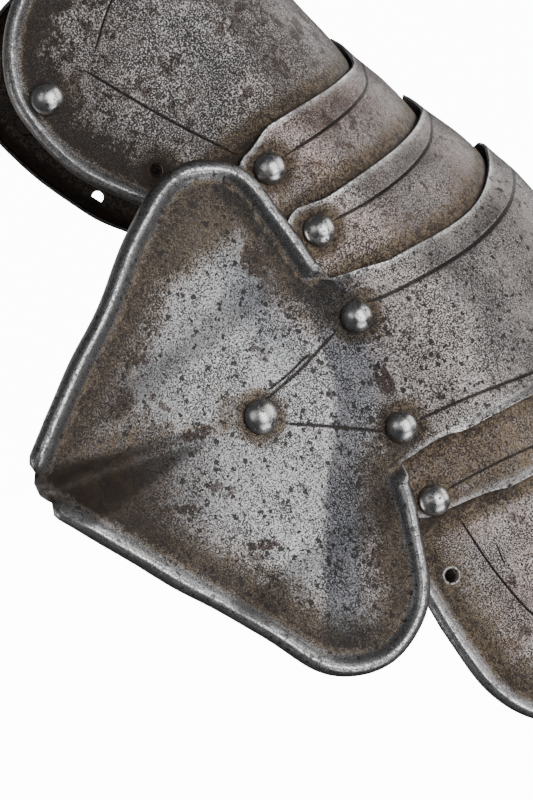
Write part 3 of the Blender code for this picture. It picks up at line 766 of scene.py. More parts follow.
def flat_mesh(outline, holes, grooves, creases, spacing):
    """Cuts a flat blank into triangles. It returns its points, its triangles, and how deep the groove
    is at each point, from 0 to 1. The outline's points come first and keep their order."""
    points, edges, depth = [], [], []

    def add(row, loop, deep=0.0):
        first = len(depth)
        edges.extend((first + i, first + i + 1) for i in range(len(row) - 1))
        if loop:
            edges.append((first + len(row) - 1, first))
        points.append(row)
        depth.extend([deep] * len(row))

    add(outline, True)
    for centre, radius in holes:
        add(ring(centre, radius), True)
    for path, width in grooves:
        for row, deep in groove_rows(resampled(path, GROOVE_STEP), width):
            add(row, False, deep)
    for row in creases:
        add(row, False)
    low, high = outline.min(axis=0), outline.max(axis=0)
    fill = []
    for number, v in enumerate(np.arange(low[1], high[1], spacing * math.sqrt(3) / 2)):
        u = np.arange(low[0] + (number % 2) * spacing / 2, high[0], spacing)
        fill.append(np.column_stack([u, np.full(len(u), v)]))
    fill = np.vstack(fill)
    fill = fill[inside_polygon(fill, outline)]
    fill = fill[segment_distance(fill, closed(outline)) > spacing * CLEAR_OF_OUTLINE]
    for centre, radius in holes:
        fill = fill[np.hypot(*(fill - centre).T) > radius + spacing * CLEAR_OF_HOLES]
    for path in [path for path, _ in grooves] + creases:
        fill = fill[segment_distance(fill, path) > spacing * CLEAR_OF_LINES]
    points = np.vstack([*points, fill])
    depth = depth + [0.0] * len(fill)
    made, _, faces, sources, _, _ = delaunay_2d_cdt([Vector(point) for point in points], edges, [], 1, 1e-5)
    flat = np.array([point[:] for point in made])
    deep = np.array([max([depth[i] for i in source], default=0.0) for source in sources])
    faces = np.array(faces)
    middle = flat[faces].mean(axis=1)
    keep = inside_polygon(middle, outline)
    for centre, radius in holes:
        keep &= ~inside_polygon(middle, ring(centre, radius))
    return flat, faces[keep], deep


def halo(name, distance):
    """How strong one of the haloes is at a distance from what it surrounds."""
    strength, full, fade = HALOES[name]
    return strength * soft(distance - full, fade)


def patches(mark, y, z):
    """The strongest of a mark's soft patches at each point of the wing."""
    found = []
    for at_y, at_z, long, wide, full, fade, strength in PATCHES[mark]:
        found.append(strength * soft(np.hypot((y - at_y) / long, (z - at_z) / wide) - full, fade))
    return strongest(*found)


def wing_stains(y, z, edge):
    """The wing's own patina and rust, with painted light and shade laid on it: painted shade in the fold,
    bare steel with a painted reflection behind the shade line, and painted cool shade in front of it, under
    the fold and in patches.
    """
    angle = np.degrees(np.arctan2(z - WING_HUB[1], y - WING_HUB[0]))
    from_hub = np.hypot(y - WING_HUB[0], z - WING_HUB[1])
    from_mouth = np.hypot(y - MOUTH[0], z - MOUTH[1])
    under_fold = ramp(-angle, -23.0, 4.0)
    over_fold = soft(angle - FOLD_EDGE, 9.0) * soft(FOLD_EDGE - angle, 6.0) * soft(38 - from_hub, 22.0)
    patina = strongest(
        halo("patina, mouth under the fold", from_mouth) * under_fold,
        halo("wide patina, mouth", from_mouth),
        0.75 * over_fold,
        0.8 * ramp(z, 163, 10) * (y < 30),
        0.8 * ramp(z, 138, 10) * soft(y + 18, 9.0),
        halo("patina, hub", from_hub) * (angle > 0) * (angle < 80),
        patches("patina", y, z),
    )
    # Painted shade in the fold under the upper lobe
    soot = halo("soot, mouth under the fold", from_mouth) * under_fold
    # Painted cool shade in front of the painted reflection's edge, under the fold and in patches
    ahead = curve(SHADE_LINE, z) - y
    tone = ramp(ahead, -0.6, 1.6)
    cool = strongest(
        halo("cool, tone line", ahead) * tone,
        halo("cool, mouth under the fold", from_mouth) * under_fold,
        patches("cool", y, z),
    )
    # Paler steel behind the painted reflection's edge: partly bare steel, partly a painted reflection
    pale = ramp(y, -22, 8) * (1 - tone) * (1 - halo("brown, mouth", from_mouth)) * ramp(edge, 4, 12)
    rusty = np.zeros(len(y))
    for at_y, at_z, long, wide, lean, strength in STREAKS:
        lean = math.radians(lean)
        along = (y - at_y) * math.cos(lean) + (z - at_z) * math.sin(lean)
        across = (z - at_z) * math.cos(lean) - (y - at_y) * math.sin(lean)
        rusty = np.maximum(rusty, strength * soft(np.hypot(along / long, across / wide), 1.0))
    return patina, soot, pale, cool, rusty


def stains(name, side, h, z, path):
    """The marks of each flat point of the outer face: its patina, wear, painted shade, bare steel with its
    painted reflection, painted cool shade, rust and scale."""
    flat = np.column_stack([h, z])
    edge = segment_distance(flat, path[:, :2])
    turned = path[path[:, 2] > FULL_TURN[1]]
    patina, soot, pale, cool, rusty, scaly = np.zeros((6, len(h)))
    worn = halo("wear, edge", edge)
    if len(turned):
        beside = segment_distance(flat, turned[:, :2])
        patina = strongest(halo("patina, turned edge", beside), halo("wide patina, turned edge", beside))
        worn = worn * (beside > 3)
        # Painted shade at the foot of the turned edge
        soot = halo("soot, turned edge", beside)
        scaly = halo("scale, turned edge", beside)
    for (hole_h, hole_z), radius in holes_of(name, side):
        apart = np.hypot(h - hole_h, z - hole_z)
        if radius > STRAP_HOLE_RADIUS:
            patina = strongest(patina, halo("patina, rivet head", apart))
        elif name == "upper_plate":
            # Painted shade round the upper strap hole
            soot = strongest(soot, halo("soot, upper strap hole", apart))
            patina = strongest(patina, halo("patina, upper strap hole", apart))
        else:
            worn = strongest(worn, halo("wear, lower strap hole", np.abs(apart - radius - HOLE_RIM)))
            patina = strongest(patina, halo("patina, lower strap hole", apart))
    if name in COVERED_BY:
        cover, way = COVERED_BY[name]
        line = curve(PLATES[cover]["top" if way > 0 else "bottom"], edge_place(h, front_line(name, z)))
        clear = (z - line) * way
        beside = np.where(clear > 0, halo("patina, edge above", clear), 1.0)
        patina = strongest(patina, beside, halo("wide patina, edge above", clear))
        # Painted shadow along the edge of the plate above, and painted shade under that plate
        soot = strongest(soot, halo("soot, edge above", clear))
        worn = np.where(clear < 3, worn * 0.2, worn)
    # The rounded lower edge is painted lighter: partly wear, partly a painted highlight where it catches the
    # light
    worn = strongest(worn, 0.5 * np.clip(bevel(name, h, z, side) / BEVEL_DEPTH * 3, 0, 1))
    if name == "lower_lame":
        patina = strongest(patina, halo("patina, side of the lower lame", h))
    if is_wing(name, side):
        wing_patina, wing_painted_shade, pale, cool, rusty = wing_stains(WALL_START - h, z, edge)
        patina, soot = strongest(patina, wing_patina), strongest(soot, wing_painted_shade)
    return patina, worn, soot, pale, cool, rusty, scaly


class Shell:
    """Gathers a plate's pieces of surface before they are joined."""

    def __init__(self):
        self.points, self.faces, self.marks, self.count = [], [], [], 0

    def add(self, points, faces, flip, **marks):
        points = points.reshape(-1, 3)
        faces = np.asarray(faces) + self.count
        self.faces += [tuple(face[::-1] if flip else face) for face in faces.tolist()]
        self.points.append(points)
        columns = [np.broadcast_to(marks.get(mark, 0.0), len(points)) for mark in MARKS]
        self.marks.append(np.column_stack(columns))
        self.count += len(points)


def grid_faces(rows, columns):
    first = (np.arange(rows - 1)[:, None] * columns + np.arange(columns - 1)).ravel()
    return np.column_stack([first, first + 1, first + columns + 1, first + columns])


def crease_rows(name, side, path):
    """Rows of flat points along the edge and round the strap holes, so that the marks there are crisp."""
    inner = path[3:-3, :2]
    rows = [moved_left(inner, -inside) for inside in EDGE_CREASES]
    if name in BEVELLED:
        bottom = PLATES[name]["bottom"]
        front = front_line(name, bottom[-1][1])
        h = np.linspace(BEVELLED[name], front - BEVEL_END, BEVEL_STEPS)
        line = curve(bottom, edge_place(h, front))
        rows += [np.column_stack([h, line + inside]) for inside in BEVEL_CREASES]
    for centre, radius in holes_of(name, side):
        if radius < SHANK_RADIUS + PLAY:
            rows += [closed(ring(centre, radius + beyond)) for beyond in RING_CREASES]
    return rows


def wall_depth(path, h, z):
    """How deep the inner face lies under the outer one: the sheet is thinner beside its cut edges."""
    cut = path[path[:, 2] < FULL_TURN[0]]
    return WALL - THINNED * soft(segment_distance(np.column_stack([h, z]), cut[:, :2]), THINNED_WIDTH)


def edge_marks(name, path, lift, start):
    """The marks over the edge of the metal. The plain edge carries on the outer face's marks."""
    size = PLATES[name]["turned"]
    across = np.linspace(0, 1, lift.shape[1]) + 0 * lift
    turn = path[:, 2:] + 0 * lift
    plain = 1 - turn
    patina_start, worn_start, painted_shade_start = [mark[:, None] for mark in start]
    ridge = soft(np.abs(lift / max(size, 0.1) - TURN_TOP), 1.0) * (across < 0.5)
    groove = soft(across, 0.10)
    outside = ramp(across, 0.38, 0.14)
    cut_edge = soft(np.abs(across - EDGE_OUT / (EDGE_OUT + EDGE_BACK)), 0.035)
    back = ramp(across, np.where(turn > FULL_TURN[1], 0.62, 0.8), 0.15)
    # A turned edge's outer side, and the metal's back, get painted shade; the rest of a turned edge is
    # painted lighter, a painted reflection
    outer_painted_shade = 0.85 if name == "upper_plate" else 0.4
    worn = turn * strongest(ridge * 0.75, cut_edge) + plain * strongest(worn_start, 0.5) * (1 - back)
    soot = strongest(back, turn * outside * outer_painted_shade * (1 - cut_edge), plain * painted_shade_start)
    patina = turn * strongest(groove * 0.9, outside * 0.55) + plain * patina_start * (1 - back)
    found = {"patina": patina, "worn": worn, "soot": soot, "pale": 0.9 * turn * (1 - outside)}
    return {mark: amount.ravel() for mark, amount in found.items()}


def add_half(shell, name, side, spacing):
    """Adds one half of a plate: both faces of its sheet, its holes' walls, and the metal's edge."""
    flip = side == INNER
    path, front = free_path(name, side)
    holes = holes_of(name, side)
    grooves = []
    for points, width, sides in INCISED[name]:
        if side in sides:
            grooves.append((smooth_path(points, LINE_STEPS) if len(points) > 2 else np.array(points), width))
    outline = np.vstack([path[:, :2], front[1:-1]])
    flat, faces, depth = flat_mesh(outline, holes, grooves, crease_rows(name, side, path), spacing)
    h, z = flat.T
    marks = dict(zip(STAINS, stains(name, side, h, z, path)), incised=depth)
    lift = -GROOVE_DEPTH * depth - bevel(name, h, z, side)
    shell.add(bent(name, h, z, lift, side), faces, flip, **marks)
    shell.add(bent(name, h, z, -wall_depth(path, h, z), side), faces, not flip, patina=INNER_PATINA)
    for centre, radius in holes:
        circle = closed(ring(centre, radius))
        wall = bent(name, circle[:, :1], circle[:, 1:], np.array([[0.0, -WALL]]), side)
        # The holes' walls get patina and a painted shade
        shell.add(wall, grid_faces(HOLE_SIDES + 1, 2), not flip, patina=HOLE_PATINA, soot=HOLE_PAINTED_SHADE)
    edge_h, edge_z, _ = path.T
    web = np.zeros(len(path))
    if is_wing(name, side):
        web = MOUTH_WEB * (WALL_START - edge_h > MOUTH[0] - 2 * TURN_REACH)
    sunk, depth = bevel(name, edge_h, edge_z, side), wall_depth(path, edge_h, edge_z)
    h, z, lift = fine_edge(path, PLATES[name]["turned"], sunk, depth, web)
    marks = edge_marks(name, path, lift, stains(name, side, edge_h, edge_z, path)[:3])
    shell.add(bent(name, h, z, lift, side), grid_faces(*h.shape), not flip, **marks)


def cleaned(data, merged):
    """Joins the points of a mesh that meet, drops its flattened facets, and shades it smooth."""
    mesh = bmesh.new()
    mesh.from_mesh(data)
    bmesh.ops.remove_doubles(mesh, verts=mesh.verts, dist=merged)
    bmesh.ops.dissolve_degenerate(mesh, edges=mesh.edges, dist=FLATTENED)
    mesh.to_mesh(data)
    mesh.free()
    data.shade_smooth()


def place_in_scene(name, data):
    made = bpy.data.objects.new(name, data)
    bpy.context.scene.collection.objects.link(made)
    return made


def plate_piece(name, spacing, material):
    """Makes one finished plate in place of its plain one."""
    shell = Shell()
    for side in (OUTER, INNER):
        add_half(shell, name, side, spacing)
    points = np.vstack(shell.points) + (0, LEG_MIDDLE, 0)
    low, high = [np.array(corner) / TO_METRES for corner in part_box(name)]
    points = np.clip(points, low, high)
    data = bpy.data.meshes.new(name + "_finished")
    data.from_pydata((points * TO_METRES).tolist(), [], shell.faces)
    marks = np.vstack(shell.marks)
    for column, mark in enumerate(MARKS):
        layer = data.attributes.new(mark, "FLOAT", "POINT")
        layer.data.foreach_set("value", marks[:, column].astype(np.float32))
    cleaned(data, MERGED)
    data.validate()
    made = place_in_scene(name + "_finished", data)
    data.materials.append(material)
    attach(made, name)
    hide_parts(name)


class Wiring:
    """Short names for adding and joining a material's nodes."""

    def __init__(self, tree):
        self.tree = tree

    def add(self, kind, **settings):
        node = self.tree.nodes.new(kind)
        for key, value in settings.items():
            setattr(node, key, value)
        return node

    def join(self, source, target):
        self.tree.links.new(source, target)

    def put(self, target, value):
        if hasattr(value, "is_output"):
            self.join(value, target)
        else:
            target.default_value = value

    def fill(self, node, **values):
        """Sets or joins a node's inputs, named with _ for each space."""
        for name, value in values.items():
            self.put(node.inputs[name.replace("_", " ")], value)
        return next(iter(node.outputs), None)

    def math(self, operation, first, second=0.0, clamp=False):
        node = self.add("ShaderNodeMath", operation=operation, use_clamp=clamp)
        self.put(node.inputs[0], first)
        self.put(node.inputs[1], second)
        return node.outputs[0]

    def sum(self, first, second, clamp=False):
        return self.math("ADD", first, second, clamp)

    def less(self, first, second, clamp=False):
        return self.math("SUBTRACT", first, second, clamp)

    def times(self, first, second):
        return self.math("MULTIPLY", first, second)

    def most(self, first, *others):
        for other in others:
            first = self.math("MAXIMUM", first, other)
        return first

    def mixed(self, *parts):
        """The sum of several (value, share) parts."""
        total = self.times(*parts[0])
        for value, share in parts[1:]:
            total = self.sum(total, self.times(value, share))
        return total

    def fit(self, value, low, high, to_low=0.0, to_high=1.0):
        """Softly steps from to_low to to_high as the value goes from low to high."""
        node = self.add("ShaderNodeMapRange", interpolation_type="SMOOTHSTEP")
        for socket, amount in zip(node.inputs, (value, low, high, to_low, to_high)):
            self.put(socket, amount)
        return node.outputs[0]

    def noise(self, vector, scale, detail, roughness, distortion=0.0):
        node = self.add("ShaderNodeTexNoise")
        self.fill(node, Vector=vector, Scale=scale, Detail=detail, Roughness=roughness, Distortion=distortion)
        return node.outputs["Fac"]

    def blend(self, factor, first, second, kind="MIX"):
        """Mixes two colours, given as outputs or as red, green and blue."""
        node = self.add("ShaderNodeMix", data_type="RGBA", blend_type=kind)
        self.put(node.inputs["Factor"], factor)
        for socket, colour in zip(node.inputs[6:8], (first, second)):
            self.put(socket, colour if hasattr(colour, "is_output") else (*colour, 1))
        return node.outputs[2]

    def mark(self, name):
        return self.add("ShaderNodeAttribute", attribute_name=name).outputs["Fac"]

    def bump(self, *layers):
        """The normal after several layers of (height, strength, distance)."""
        normal = None
        for height, strength, distance in layers:
            node = self.add("ShaderNodeBump")
            self.fill(node, Strength=strength, Distance=distance, Height=height)
            if normal is not None:
                self.join(normal, node.inputs["Normal"])
            normal = node.outputs["Normal"]
        return normal


def new_material(name):
    material = bpy.data.materials.new(name)
    material.use_nodes = True
    material.node_tree.nodes.clear()
    w = Wiring(material.node_tree)
    shader = w.add("ShaderNodeBsdfPrincipled")
    w.join(shader.outputs[0], w.add("ShaderNodeOutputMaterial").inputs["Surface"])
    return material, w, shader


def plate_steel(name, settings, look):
    """Old forged steel: pale where it is bare, pitted, clouded with rust, and browned in its grooves, with
    painted shade, painted cool shade and a painted reflection laid on it.
    """
    fine_pits, flakes, rust, warmth, skin = look
    material, w, shader = new_material(name)
    place = w.add("ShaderNodeTexCoord").outputs["Object"]
    patina, worn, soot, incised, pale, cool, rusty, scaly = [w.mark(mark) for mark in MARKS]
    broad, cloud, blotch, mottle, grit, grain = [w.noise(place, *sizes) for sizes in NOISES.values()]
    wander = w.add("ShaderNodeTexNoise")
    w.fill(wander, Vector=place, Scale=WANDER_SCALE, Detail=2.0)
    moved = w.add("ShaderNodeVectorMath", operation="MULTIPLY_ADD")
    for socket, value in zip(moved.inputs, (wander.outputs["Color"], (CELL_WANDER,) * 3, place)):
        w.put(socket, value)
    cells = w.add("ShaderNodeTexVoronoi")
    w.fill(cells, Vector=moved.outputs[0], Scale=CELL_SCALE)
    chance = w.fill(w.add("ShaderNodeSeparateColor"), Color=cells.outputs["Color"])

    # Bare steel, browning, and paling where the steel is bare and where a painted reflection lies
    tone = w.mixed((cloud, 0.5), (mottle, 0.5))
    dark = [part * 0.72 for part in settings.steel_colour]
    light = [min(1.0, part * 1.12) for part in settings.steel_colour]
    colour = w.blend(w.fit(tone, 0.36, 0.62), dark, light)
    colour = w.blend(w.fit(broad, 0.36, 0.62, warmth * 0.45, warmth), colour, settings.warm_colour)
    lit_bare = w.times(pale, w.fit(tone, 0.30, 0.55, 0.55, 1.0))
    colour = w.blend(lit_bare, colour, settings.bare_and_lit_colour)

    # Rust, in clouds and streaks
    spots = w.mixed((cloud, 0.45), (blotch, 0.55))
    spots = w.fit(spots, 0.62 - 0.10 * rust, 0.70 - 0.10 * rust, 0.0, 0.8)
    streaks = w.fit(w.times(rusty, w.fit(mottle, 0.3, 0.6, 0.3, 1.4)), 0.2, 0.5)
    rusted = w.times(w.most(spots, streaks), settings.rust)
    colour = w.blend(rusted, colour, settings.rust_colour)

    # Brown stain
    uneven = w.sum(w.times(w.less(blotch, 0.5), 0.7), w.times(w.less(mottle, 0.5), 0.6))
    browned = w.sum(patina, w.times(uneven, w.fit(patina, 0.0, 0.25)))
    browned = w.fit(browned, 0.08, 0.9, 0.0, settings.patina)
    shade = w.fit(w.mixed((blotch, 0.5), (mottle, 0.5), (patina, -0.07)), 0.37, 0.51)
    colour = w.blend(browned, colour, w.blend(shade, settings.brown_colour, settings.ochre_colour))

    # Thick dark scale
    scale = w.sum(w.times(scaly, 0.17), w.mixed((blotch, 0.6), (mottle, 0.4)))
    scale = w.fit(scale, 0.585, 0.635, 0.0, 0.85 * skin)
    colour = w.blend(scale, colour, settings.skin_colour)

    # Bright flecks, and rubbed ridges and edges
    covered = w.most(rusted, scale, w.times(browned, 0.75))
    fleck = w.times(w.fit(grit, 0.36, 0.45, 0.34, 0.0), w.less(1.0, covered, clamp=True))
    colour = w.blend(fleck, colour, settings.worn_colour)
    bright = w.times(worn, w.fit(mottle, 0.36, 0.52, 0.3, 1.0))
    colour = w.blend(bright, colour, settings.worn_colour)

    # Pits, small ones in crowds and larger ones scattered
    kept = w.times(w.less(1.0, w.times(worn, 0.3)), settings.pitting)
    crowd = w.fit(cloud, 0.36, 0.64, 0.035, -0.03)
    small = w.fit(w.sum(grit, crowd), 0.57 - fine_pits * 0.06, 0.635 - fine_pits * 0.06)
    size = w.times(w.math("POWER", chance, 3.5), 0.5 * flakes)
    big = w.fit(w.less(size, cells.outputs["Distance"]), -0.01, 0.05)
    pits = w.times(w.most(w.times(small, 0.8), big), kept)
    colour = w.blend(pits, colour, settings.pit_colour)

    # Painted cool shade, painted dark shade and incised lines
    # The wing's painted cool shade
    colour = w.blend(w.times(cool, 0.95), colour, PAINTED_SHADE_TINT, "MULTIPLY")
    # Painted dark shade in recesses, under edges and in the wing's fold
    painted_dark = w.times(soot, w.fit(w.sum(grit, mottle), 0.8, 1.15, 1.0, 0.72))
    painted_shade_tone = w.blend(w.fit(blotch, 0.44, 0.6), settings.painted_shade_colour, settings.brown_colour)
    colour = w.blend(painted_dark, colour, painted_shade_tone)
    colour = w.blend(w.fit(incised, 0.0, 0.5, 0.0, 0.95), colour, settings.pit_colour)

    dull = w.most(pits, painted_dark, w.times(browned, 0.75), w.most(w.times(rusted, 0.7), scale))
    dull = w.less(dull, fleck, clamp=True)
    gloss = w.fit(grain, 0.3, 0.7, settings.roughness - 0.05, settings.roughness + 0.07)
    gloss = w.sum(w.less(gloss, w.times(bright, 0.10)), w.times(dull, 0.25), clamp=True)
    normal = w.bump((w.times(pits, -1.0), 0.7, 0.00022), (mottle, 0.3, 0.00012), (cloud, 0.25, 0.0006))
    metal = w.less(1.0, w.times(dull, 0.8))
    w.fill(shader, Base_Color=colour, Metallic=metal, Roughness=gloss, Normal=normal)
    return material


def rivet_steel(name, settings):
    """Filed and worn rivet heads, browned round the foot of each."""
    material, w, shader = new_material(name)
    place = w.add("ShaderNodeTexCoord").outputs["Object"]
    stretched = w.fill(w.add("ShaderNodeMapping"), Vector=place, Scale=(1.0, 0.35, 4.5))
    filed = w.noise(stretched, 700.0, 2.0, 0.6)
    speck = w.noise(place, 750.0, 3.0, 0.6)
    pits = w.times(w.fit(speck, 0.60, 0.65), 0.7)
    foot = w.fit(w.sum(w.mark("rise"), w.times(speck, 0.25)), 0.18, 0.52, 1.0, 0.0)
    foot = w.times(foot, 0.9)
    colour = w.blend(w.fit(filed, 0.35, 0.65), settings.rivet_colour, settings.worn_colour)
    colour = w.blend(pits, colour, settings.pit_colour)
    colour = w.blend(foot, colour, settings.brown_colour)
    dull = w.most(pits, foot)
    gloss = w.sum(w.fit(speck, 0.3, 0.7, 0.25, 0.36), w.times(dull, 0.3))
    normal = w.bump((filed, 0.12, 0.00006), (speck, 0.2, 0.0001), (w.times(pits, -1.0), 0.5, 0.00012))
    metal = w.less(1.0, w.times(dull, 0.8))
    w.fill(shader, Base_Color=colour, Metallic=metal, Roughness=gloss, Normal=normal)
    return material


def rivet_tree():
    """A tree that sets a domed head, a shank and a burr at each point that carries `outward` and `size`."""
    tree = bpy.data.node_groups.new("Domed rivets", "GeometryNodeTree")
    face = tree.interface
    face.new_socket("Points", in_out="INPUT", socket_type="NodeSocketGeometry")
    for name, value in RIVET_SIZES.items():
        socket = face.new_socket(name, in_out="INPUT", socket_type="NodeSocketFloat")
        socket.default_value = value * TO_METRES
        socket.subtype = "DISTANCE"
    face.new_socket("Seed", in_out="INPUT", socket_type="NodeSocketInt").default_value = 3
    face.new_socket("Steel", in_out="INPUT", socket_type="NodeSocketMaterial")
    face.new_socket("Rivets", in_out="OUTPUT", socket_type="NodeSocketGeometry")
    w = Wiring(tree)
    given = w.add("NodeGroupInput").outputs
    result = w.add("NodeGroupOutput").inputs[0]

    def vector(x=0.0, y=0.0, z=0.0):
        return w.fill(w.add("ShaderNodeCombineXYZ"), X=x, Y=y, Z=z)

    def named(name, kind="FLOAT"):
        return w.fill(w.add("GeometryNodeInputNamedAttribute", data_type=kind), Name=name)

    def cylinder(radius, length, foot):
        shape = w.fill(w.add("GeometryNodeMeshCylinder"), Vertices=HEAD_SEGMENTS, Radius=radius, Depth=length)
        middle = vector(z=w.sum(foot, w.times(length, 0.5)))
        return w.fill(w.add("GeometryNodeTransform"), Geometry=shape, Translation=middle)

    def set_on(points, shape, scale):
        turn = w.add("FunctionNodeAlignRotationToVector", axis="Z")
        turn = w.fill(turn, Vector=named("outward", "FLOAT_VECTOR"))
        node = w.add("GeometryNodeInstanceOnPoints")
        return w.fill(node, Points=points, Instance=shape, Rotation=turn, Scale=scale)

    # A ball, its lower half flattened into the head's underside
    ball = w.fill(w.add("GeometryNodeMeshUVSphere"), Segments=HEAD_SEGMENTS, Rings=HEAD_RINGS, Radius=1.0)
    where = w.add("ShaderNodeSeparateXYZ")
    w.fill(where, Vector=w.add("GeometryNodeInputPosition").outputs[0])
    up = w.most(where.outputs[2], 0.0)
    store = w.add("GeometryNodeStoreNamedAttribute", data_type="FLOAT", domain="POINT")
    ball = w.fill(store, Geometry=ball, Name="rise", Value=up)
    flattened = vector(where.outputs[0], where.outputs[1], up)
    dome = w.fill(w.add("GeometryNodeSetPosition"), Geometry=ball, Position=flattened)
    size = named("size")
    parts = [set_on(given["Points"], dome, vector(size, size, given["Head Height"]))]

    # A shank through one sheet or two, and a burr behind it
    burr_depth = BURR_DEPTH * TO_METRES
    for sheets in (1, 2):
        same = w.add("FunctionNodeCompare", data_type="INT", operation="EQUAL")
        w.join(named("sheets", "INT"), same.inputs[2])
        same.inputs[3].default_value = sheets
        chosen = w.add("GeometryNodeSeparateGeometry", domain="POINT")
        chosen = w.fill(chosen, Geometry=given["Points"], Selection=same.outputs[0])
        grip = w.sum((WALL + (sheets - 1) * NEST) * TO_METRES, w.times(given["Air"], 2.0))
        base = w.times(grip, -1.0)
        shank = cylinder(given["Shank Radius"], w.sum(grip, SHANK_IN_HEAD * TO_METRES), base)
        burr = cylinder(given["Burr Radius"], burr_depth, w.less(base, burr_depth))
        parts += [set_on(chosen, shape, vector(1.0, 1.0, 1.0)) for shape in (shank, burr)]
    joined = w.add("GeometryNodeJoinGeometry")
    for part in parts:
        w.join(part, joined.inputs[0])
    real = w.fill(w.add("GeometryNodeRealizeInstances"), Geometry=joined.outputs[0])

    # Heads worn uneven, more so towards the top
    bumps = w.add("ShaderNodeTexNoise", noise_dimensions="4D")
    position = w.add("GeometryNodeInputPosition").outputs[0]
    w.fill(bumps, Vector=position, W=given["Seed"], Scale=WEAR_SCALE)
    push = w.add("ShaderNodeVectorMath", operation="SCALE")
    w.join(w.add("GeometryNodeInputNormal").outputs[0], push.inputs[0])
    amount = w.times(w.less(bumps.outputs["Fac"], WEAR_LEVEL), given["Wear"])
    w.fill(push, Scale=w.times(amount, named("rise")))
    worn = w.fill(w.add("GeometryNodeSetPosition"), Geometry=real, Offset=push.outputs[0])
    w.join(w.fill(w.add("GeometryNodeSetMaterial"), Geometry=worn, Material=given["Steel"]), result)
    return tree


def rivet_place(name, y, z, side):
    """A point on a plate's outer face, and the direction straight out of the metal there."""
    h = WALL_START - y
    here, behind, above = [bent(name, h + dh, z + dz, 0.0, side) for dh, dz in ((0, 0), (-0.5, 0), (0, 0.5))]
    outward = np.cross(behind - here, above - here)
    outward /= np.linalg.norm(outward)
    return here + (0, LEG_MIDDLE, 0), outward if outward[0] * side > 0 else -outward


def rivets_of(plate):
    """(place, outward, head radius, sheets, the plain piece it stands for) of each rivet on a plate."""
    found = []
    for side, where in ((OUTER, "outer"), (INNER, "inner")):
        for label, (y, z, outer_plate, _) in PIVOTS.items():
            if outer_plate == plate:
                found.append((*rivet_place(plate, y, z, side), HEAD_RADIUS, 2, f"{label}_{where}"))
        if plate == "upper_plate":
            y, z = STRAP_RIVETS[side]
            found.append((*rivet_place(plate, y, z, side), STRAP_HEAD_RADIUS, 1, f"strap_rivet_{where}"))
    if plate == "knee_cop":
        found.append((*rivet_place(plate, *WING_RIVET, OUTER), WING_HEAD_RADIUS, 1, "wing_rivet"))
    return found


def rivet_piece(plate, tree, settings, material):
    """Makes all the rivets of one plate."""
    found = rivets_of(plate)
    if not found:
        return
    places, outward, sizes, sheets, stands_for = zip(*found)
    places = np.array(places) + np.array(outward) * PLAY
    data = bpy.data.meshes.new(plate + "_rivet_points")
    data.from_pydata((places * TO_METRES).tolist(), [], [])
    data.attributes.new("outward", "FLOAT_VECTOR", "POINT").data.foreach_set("vector", np.ravel(outward))
    data.attributes.new("size", "FLOAT", "POINT").data.foreach_set("value", np.array(sizes) * TO_METRES)
    data.attributes.new("sheets", "INT", "POINT").data.foreach_set("value", sheets)
    points = place_in_scene(plate + "_rivet_points", data)
    modifier = points.modifiers.new("Rivets", "NODES")
    modifier.node_group = tree
    given = {"Head Height": settings.head_height, "Wear": settings.wear, "Steel": material}
    for socket in tree.interface.items_tree:
        if socket.name in given:
            modifier[socket.identifier] = given[socket.name]
    bpy.context.view_layer.update()
    done = bpy.data.meshes.new_from_object(points.evaluated_get(bpy.context.evaluated_depsgraph_get()))
    points.modifiers.remove(modifier)
    bpy.data.objects.remove(points)
    done.name = plate + "_rivets"
    cleaned(done, RIVET_MERGED)
    done.set_sharp_from_angle(angle=math.radians(50))
    made = place_in_scene(plate + "_rivets", done)
    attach(made, plate)
    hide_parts(*stands_for)


def add_camera(settings):
    """Makes the camera. It returns its target and the directions to its right, upwards, and back to it."""
    azimuth, elevation, roll = settings.azimuth, settings.elevation, settings.camera_roll
    level = math.cos(elevation)
    back = Vector((math.sin(azimuth) * level, -math.cos(azimuth) * level, math.sin(elevation)))
    level_right = Vector((0, 0, 1)).cross(back).normalized()
    level_up = back.cross(level_right)
    right = math.cos(roll) * level_right - math.sin(roll) * level_up
    up = math.sin(roll) * level_right + math.cos(roll) * level_up
    target = Vector((0, LEG_MIDDLE * TO_METRES, settings.target_height))
    data = bpy.data.cameras.new("Camera")
    data.lens = settings.lens
    data.sensor_width = 36.0
    data.clip_start, data.clip_end = 0.05, 20.0
    camera = place_in_scene("Camera", data)
    turn = Matrix((right, up, back)).transposed().to_4x4()
    camera.matrix_world = Matrix.Translation(target + back * settings.distance) @ turn
    bpy.context.scene.camera = camera
    return target, right, up, back


def add_light(name, place, target, size, power, colour):
    data = bpy.data.lights.new(name, "AREA")
    data.shape = "RECTANGLE"
    data.size, data.size_y = size
    data.energy = power
    data.color = colour
    light = place_in_scene(name, data)
    light.location = place
    light.rotation_euler = (target - place).to_track_quat("-Z", "Y").to_euler()


